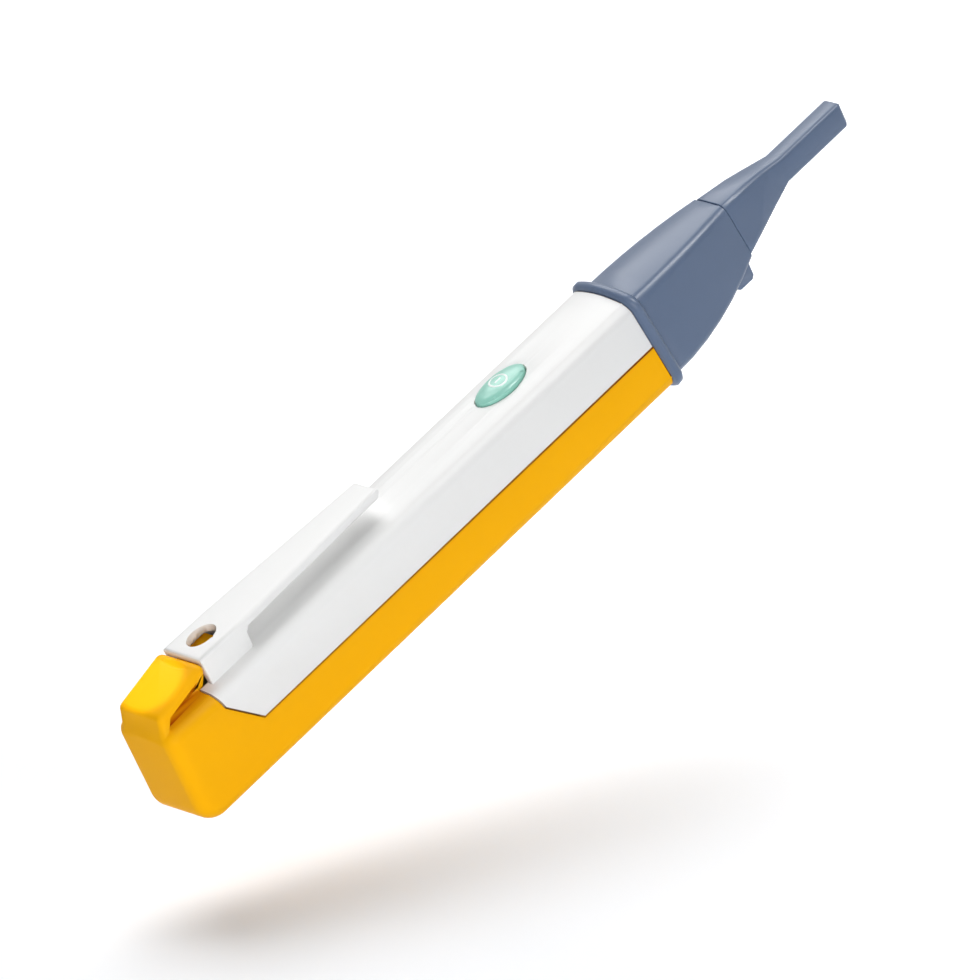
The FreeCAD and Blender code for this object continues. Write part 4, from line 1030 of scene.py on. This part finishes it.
# %% Chip legs
def chip_legs():
    inputs = [
        ("Legs", "NodeSocketInt", 5),
        ("Pitch", "NodeSocketFloat", 0.9 * MM),
        ("Leg Width", "NodeSocketFloat", 0.35 * MM),
        ("Leg Thickness", "NodeSocketFloat", 0.14 * MM),
        ("Centre", "NodeSocketVector", (0, 0, 0)),
    ]
    tree, start = new_tree("chip_legs", inputs)
    route = add_node(tree, "GeometryNodeMeshToCurve", (-5, 0))
    flat = add_node(tree, "GeometryNodeCurvePrimitiveQuadrilateral", (-5, 1))
    leg = add_node(tree, "GeometryNodeCurveToMesh", (-3, 0))
    gaps = add_node(tree, "ShaderNodeMath", (-5, 3), operation="SUBTRACT")
    half = add_node(tree, "ShaderNodeMath", (-4, 3), operation="MULTIPLY")
    back = add_node(tree, "ShaderNodeMath", (-3, 3), operation="MULTIPLY")
    first = add_node(tree, "ShaderNodeCombineXYZ", (-2, 3))
    stride = add_node(tree, "ShaderNodeCombineXYZ", (-2, 4))
    row = add_node(tree, "GeometryNodeMeshLine", (-1, 2))
    near = add_node(tree, "GeometryNodeInstanceOnPoints", (0, 0))
    far = add_node(tree, "GeometryNodeTransform", (1, 1), Rotation=(0, 0, pi))
    both = add_node(tree, "GeometryNodeJoinGeometry", (2, 0))
    placed = add_node(tree, "GeometryNodeTransform", (3, 0))
    fill(leg, {"Fill Caps": True})
    fill(gaps, {1: 1.0})
    fill(back, {1: -0.5})
    wire(
        tree,
        (start, "Geometry", route, "Mesh"),
        (start, "Leg Width", flat, "Width"),
        (start, "Leg Thickness", flat, "Height"),
        (route, "Curve", leg, "Curve"),
        (flat, "Curve", leg, "Profile Curve"),
        (start, "Legs", gaps, 0),
        (gaps, 0, half, 0),
        (start, "Pitch", half, 1),
        (half, 0, back, 0),
        (back, 0, first, "X"),
        (start, "Pitch", stride, "X"),
        (start, "Legs", row, "Count"),
        (first, 0, row, "Start Location"),
        (stride, 0, row, "Offset"),
        (row, "Mesh", near, "Points"),
        (leg, "Mesh", near, "Instance"),
        (near, 0, far, "Geometry"),
        (near, 0, both, 0),
        (far, "Geometry", both, 0),
        (both, 0, placed, "Geometry"),
        (start, "Centre", placed, "Translation"),
    )
    end_tree(tree, placed, "plain_steel")
    return tree


LEG_BENDS = ((-0.1, 0.5), (0.3, 0.5), (0.5, 0.08), (0.95, 0.08))
CHIP_ROWS = {"microcontroller": (5, 0.9), "amplifier_chip": (4, 0.65)}
legs = chip_legs()
for chip, (count, pitch) in CHIP_ROWS.items():
    low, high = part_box(chip)
    leg_route = [(0, high.y + out * MM, up * MM) for out, up in LEG_BENDS]
    middle = ((low.x + high.x) / 2, 0, low.z)
    sizes = {"Legs": count, "Pitch": pitch * MM, "Centre": middle}
    grow(f"{chip}_legs", legs, leg_route, [(0, 1), (1, 2), (2, 3)], sizes)

# %% [markdown]
# Resistors and capacitors are small blocks with slightly rounded corners, set square to the board but
# turned either way. Each stands on a point chosen clear of the larger parts, and a fixed seed picks its
# turn.


# %% Small blocks
def small_blocks():
    inputs = [
        ("Length", "NodeSocketFloat", 1.2 * MM),
        ("Width", "NodeSocketFloat", 0.65 * MM),
        ("Height", "NodeSocketFloat", 0.45 * MM),
        ("Corner", "NodeSocketFloat", 0.1 * MM),
        ("Seed", "NodeSocketInt", 3),
    ]
    tree, start = new_tree("small_blocks", inputs)
    outline = add_node(tree, "GeometryNodeCurvePrimitiveQuadrilateral", (-5, 0))
    rounded = add_node(tree, "GeometryNodeFilletCurve", (-4, 0))
    plate = add_node(tree, "GeometryNodeFillCurve", (-3, 0))
    block = add_node(tree, "GeometryNodeExtrudeMesh", (-2, 0))
    under = add_node(tree, "GeometryNodeFlipFaces", (-2, 2))
    closed = add_node(tree, "GeometryNodeJoinGeometry", (-1, 0))
    sealed = add_node(tree, "GeometryNodeMergeByDistance", (0, 0), Distance=0.001 * MM)
    chance = add_node(tree, "FunctionNodeRandomValue", (-1, 3), data_type="INT")
    quarter = add_node(tree, "ShaderNodeMath", (0, 3), operation="MULTIPLY")
    about = add_node(tree, "ShaderNodeCombineXYZ", (1, 3))
    turned = add_node(tree, "FunctionNodeEulerToRotation", (2, 3))
    spread = add_node(tree, "GeometryNodeInstanceOnPoints", (3, 0))
    fill(quarter, {1: pi / 2})
    corner_steps = next(s for s in rounded.inputs if s.name == "Count")
    corner_steps.default_value = 2
    low_turn, high_turn = [s for s in chance.inputs if s.name in ("Min", "Max") and s.enabled]
    low_turn.default_value, high_turn.default_value = 0, 1
    wire(
        tree,
        (start, "Length", outline, "Width"),
        (start, "Width", outline, "Height"),
        (outline, "Curve", rounded, "Curve"),
        (start, "Corner", rounded, "Radius"),
        (rounded, "Curve", plate, "Curve"),
        (plate, "Mesh", block, "Mesh"),
        (start, "Height", block, "Offset Scale"),
        (plate, "Mesh", under, "Mesh"),
        (block, "Mesh", closed, 0),
        (under, "Mesh", closed, 0),
        (closed, 0, sealed, "Geometry"),
        (start, "Seed", chance, "Seed"),
    )
    tree.links.new(next(s for s in chance.outputs if s.enabled), quarter.inputs[0])
    wire(
        tree,
        (quarter, 0, about, "Z"),
        (about, 0, turned, 0),
        (start, "Geometry", spread, "Points"),
        (sealed, "Geometry", spread, "Instance"),
        (turned, 0, spread, "Rotation"),
    )
    end_tree(tree, spread, "black_plastic")
    return tree


BLOCK_ROWS = {
    8.0: (-3.2, 3.2),
    10.8: (-3.0, -1.0, 1.2, 3.2),
    13.2: (-2.4, 0.2, 2.6),
    32.0: (-3.4, -1.4, 1.4, 3.4),
    38.0: (-2.8, 0.0, 2.8),
    43.9: (-3.2, 3.2),
}
board_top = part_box("circuit_board")[1].z
block_points = [(x * MM, y * MM, board_top) for x, row in BLOCK_ROWS.items() for y in row]
grow("small_blocks", small_blocks(), block_points, [], {"Seed": 5})

# %% [markdown]
# Solder draws up into a small cone round each wire or tab. The cones stand at the detector's leads and at
# the tabs of the switch.


# %% Solder
CONE_SIDES = 14


def solder_cones():
    inputs = [
        ("Foot Radius", "NodeSocketFloat", 0.55 * MM),
        ("Top Radius", "NodeSocketFloat", 0.16 * MM),
        ("Height", "NodeSocketFloat", 0.6 * MM),
    ]
    tree, start = new_tree("solder_cones", inputs)
    cone = add_node(tree, "GeometryNodeMeshCone", (-3, 1), Vertices=CONE_SIDES)
    spread = add_node(tree, "GeometryNodeInstanceOnPoints", (0, 0))
    smooth = add_node(tree, "GeometryNodeSetShadeSmooth", (2, 0))
    wire(
        tree,
        (start, "Foot Radius", cone, "Radius Bottom"),
        (start, "Top Radius", cone, "Radius Top"),
        (start, "Height", cone, "Depth"),
        (start, "Geometry", spread, "Points"),
        (cone, "Mesh", spread, "Instance"),
        (spread, 0, smooth, "Geometry"),
    )
    end_tree(tree, smooth, "plain_steel")
    return tree


LEAD_INSET = Vector((0.5, 0.25)) * MM
TAB_OUT = 0.3 * MM
TAB_SIDE = 2.2 * MM
lead_low, lead_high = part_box("detector_leads")
switch_low, switch_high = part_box("power_switch")
lead_side = lead_high.y - LEAD_INSET.y
solder_spots = [(lead_low.x + LEAD_INSET.x, y) for y in (-lead_side, lead_side)]
solder_spots += [(x, y) for x in (switch_low.x - TAB_OUT, switch_high.x) for y in (-TAB_SIDE, TAB_SIDE)]
solder_points = [(x, y, board_top) for x, y in solder_spots]
grow("solder_cones", solder_cones(), solder_points, [], {})

# %% [markdown]
# ## The mark on the key
# The key carries a printed ring with a short bar in it, a common sign for a power key. Ink is almost flat,
# so it could be a mask in the key's finish, but a thin mesh keeps a sharp edge at any distance. Rows of
# points are dropped on to the dome along rays, lifted by the thickness of the ink and sunk again at the
# rims.

# %% Print the mark
INK = 0.03 * MM
SUNK = -0.01 * MM
RIM = 0.03 * MM
RING_RADIUS = 1.75 * MM
RING_STROKE = 0.4 * MM
BAR_LENGTH = 1.5 * MM
BAR_WIDTH = 0.38 * MM
RING_STEPS = 72
BAR_STEPS = 8
key_low, key_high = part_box("power_button")
key_x = (key_low.x + key_high.x) / 2


def on_key(x, y, lift):
    """A point on the key's dome, lifted by some height."""
    above = Vector((key_x + x, y, key_high.z + MM))
    return trees["power_button"].ray_cast(above, Vector((0, 0, -1)))[0] + Vector((0, 0, lift))


def stroke(width):
    """Places across a printed line, with the height of the ink at each."""
    half = width / 2
    return [(-half, SUNK), (RIM - half, INK), (0, INK), (half - RIM, INK), (half, SUNK)]


def net(form, rows, closed):
    """Joins rows of points into quads that look up."""
    verts = [[form.verts.new(point) for point in row] for row in rows]
    for n in range(len(rows) if closed else len(rows) - 1):
        after = verts[(n + 1) % len(rows)]
        for m in range(len(after) - 1):
            form.faces.new((verts[n][m], verts[n][m + 1], after[m + 1], after[m]))


ring = []
for n in range(RING_STEPS):
    turned = 2 * pi * n / RING_STEPS
    radii = [(RING_RADIUS - RING_STROKE / 2 + across, lift) for across, lift in stroke(RING_STROKE)]
    ring.append([on_key(radius * cos(turned), radius * sin(turned), lift) for radius, lift in radii])
bar = []
for n in range(BAR_STEPS + 1):
    x = BAR_LENGTH * (n / BAR_STEPS - 0.5)
    at_end = n in (0, BAR_STEPS)
    bar.append([on_key(x, y, SUNK if at_end else lift) for y, lift in stroke(BAR_WIDTH)])
form = bmesh.new()
net(form, ring, True)
net(form, bar, False)
bmesh.ops.recalc_face_normals(form, faces=form.faces)
if sum(face.normal.z for face in form.faces) < 0:
    bmesh.ops.reverse_faces(form, faces=form.faces)
mark_mesh = bpy.data.meshes.new("key_mark")
form.to_mesh(mark_mesh)
form.free()
mark_mesh.shade_smooth()
# The ink's fourth shade is its painted shade for hollows.
ink_shades = ((236, 246, 242), (242, 250, 247), (250, 252, 251), (190, 210, 204))
ink = moulded("mark_ink", ink_shades, matt=0.5, gloss=0.4, grain_depth=2e-6, drift=400.0)
mark_mesh.materials.append(ink)
mark = bpy.data.objects.new("key_mark", mark_mesh)
scene.collection.objects.link(mark)
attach(mark, "button")
mark_top = max(vert.co.z for vert in mark_mesh.vertices)
print("mark has", len(mark_mesh.polygons), "faces, top in mm:", round(mark_top / MM, 3))
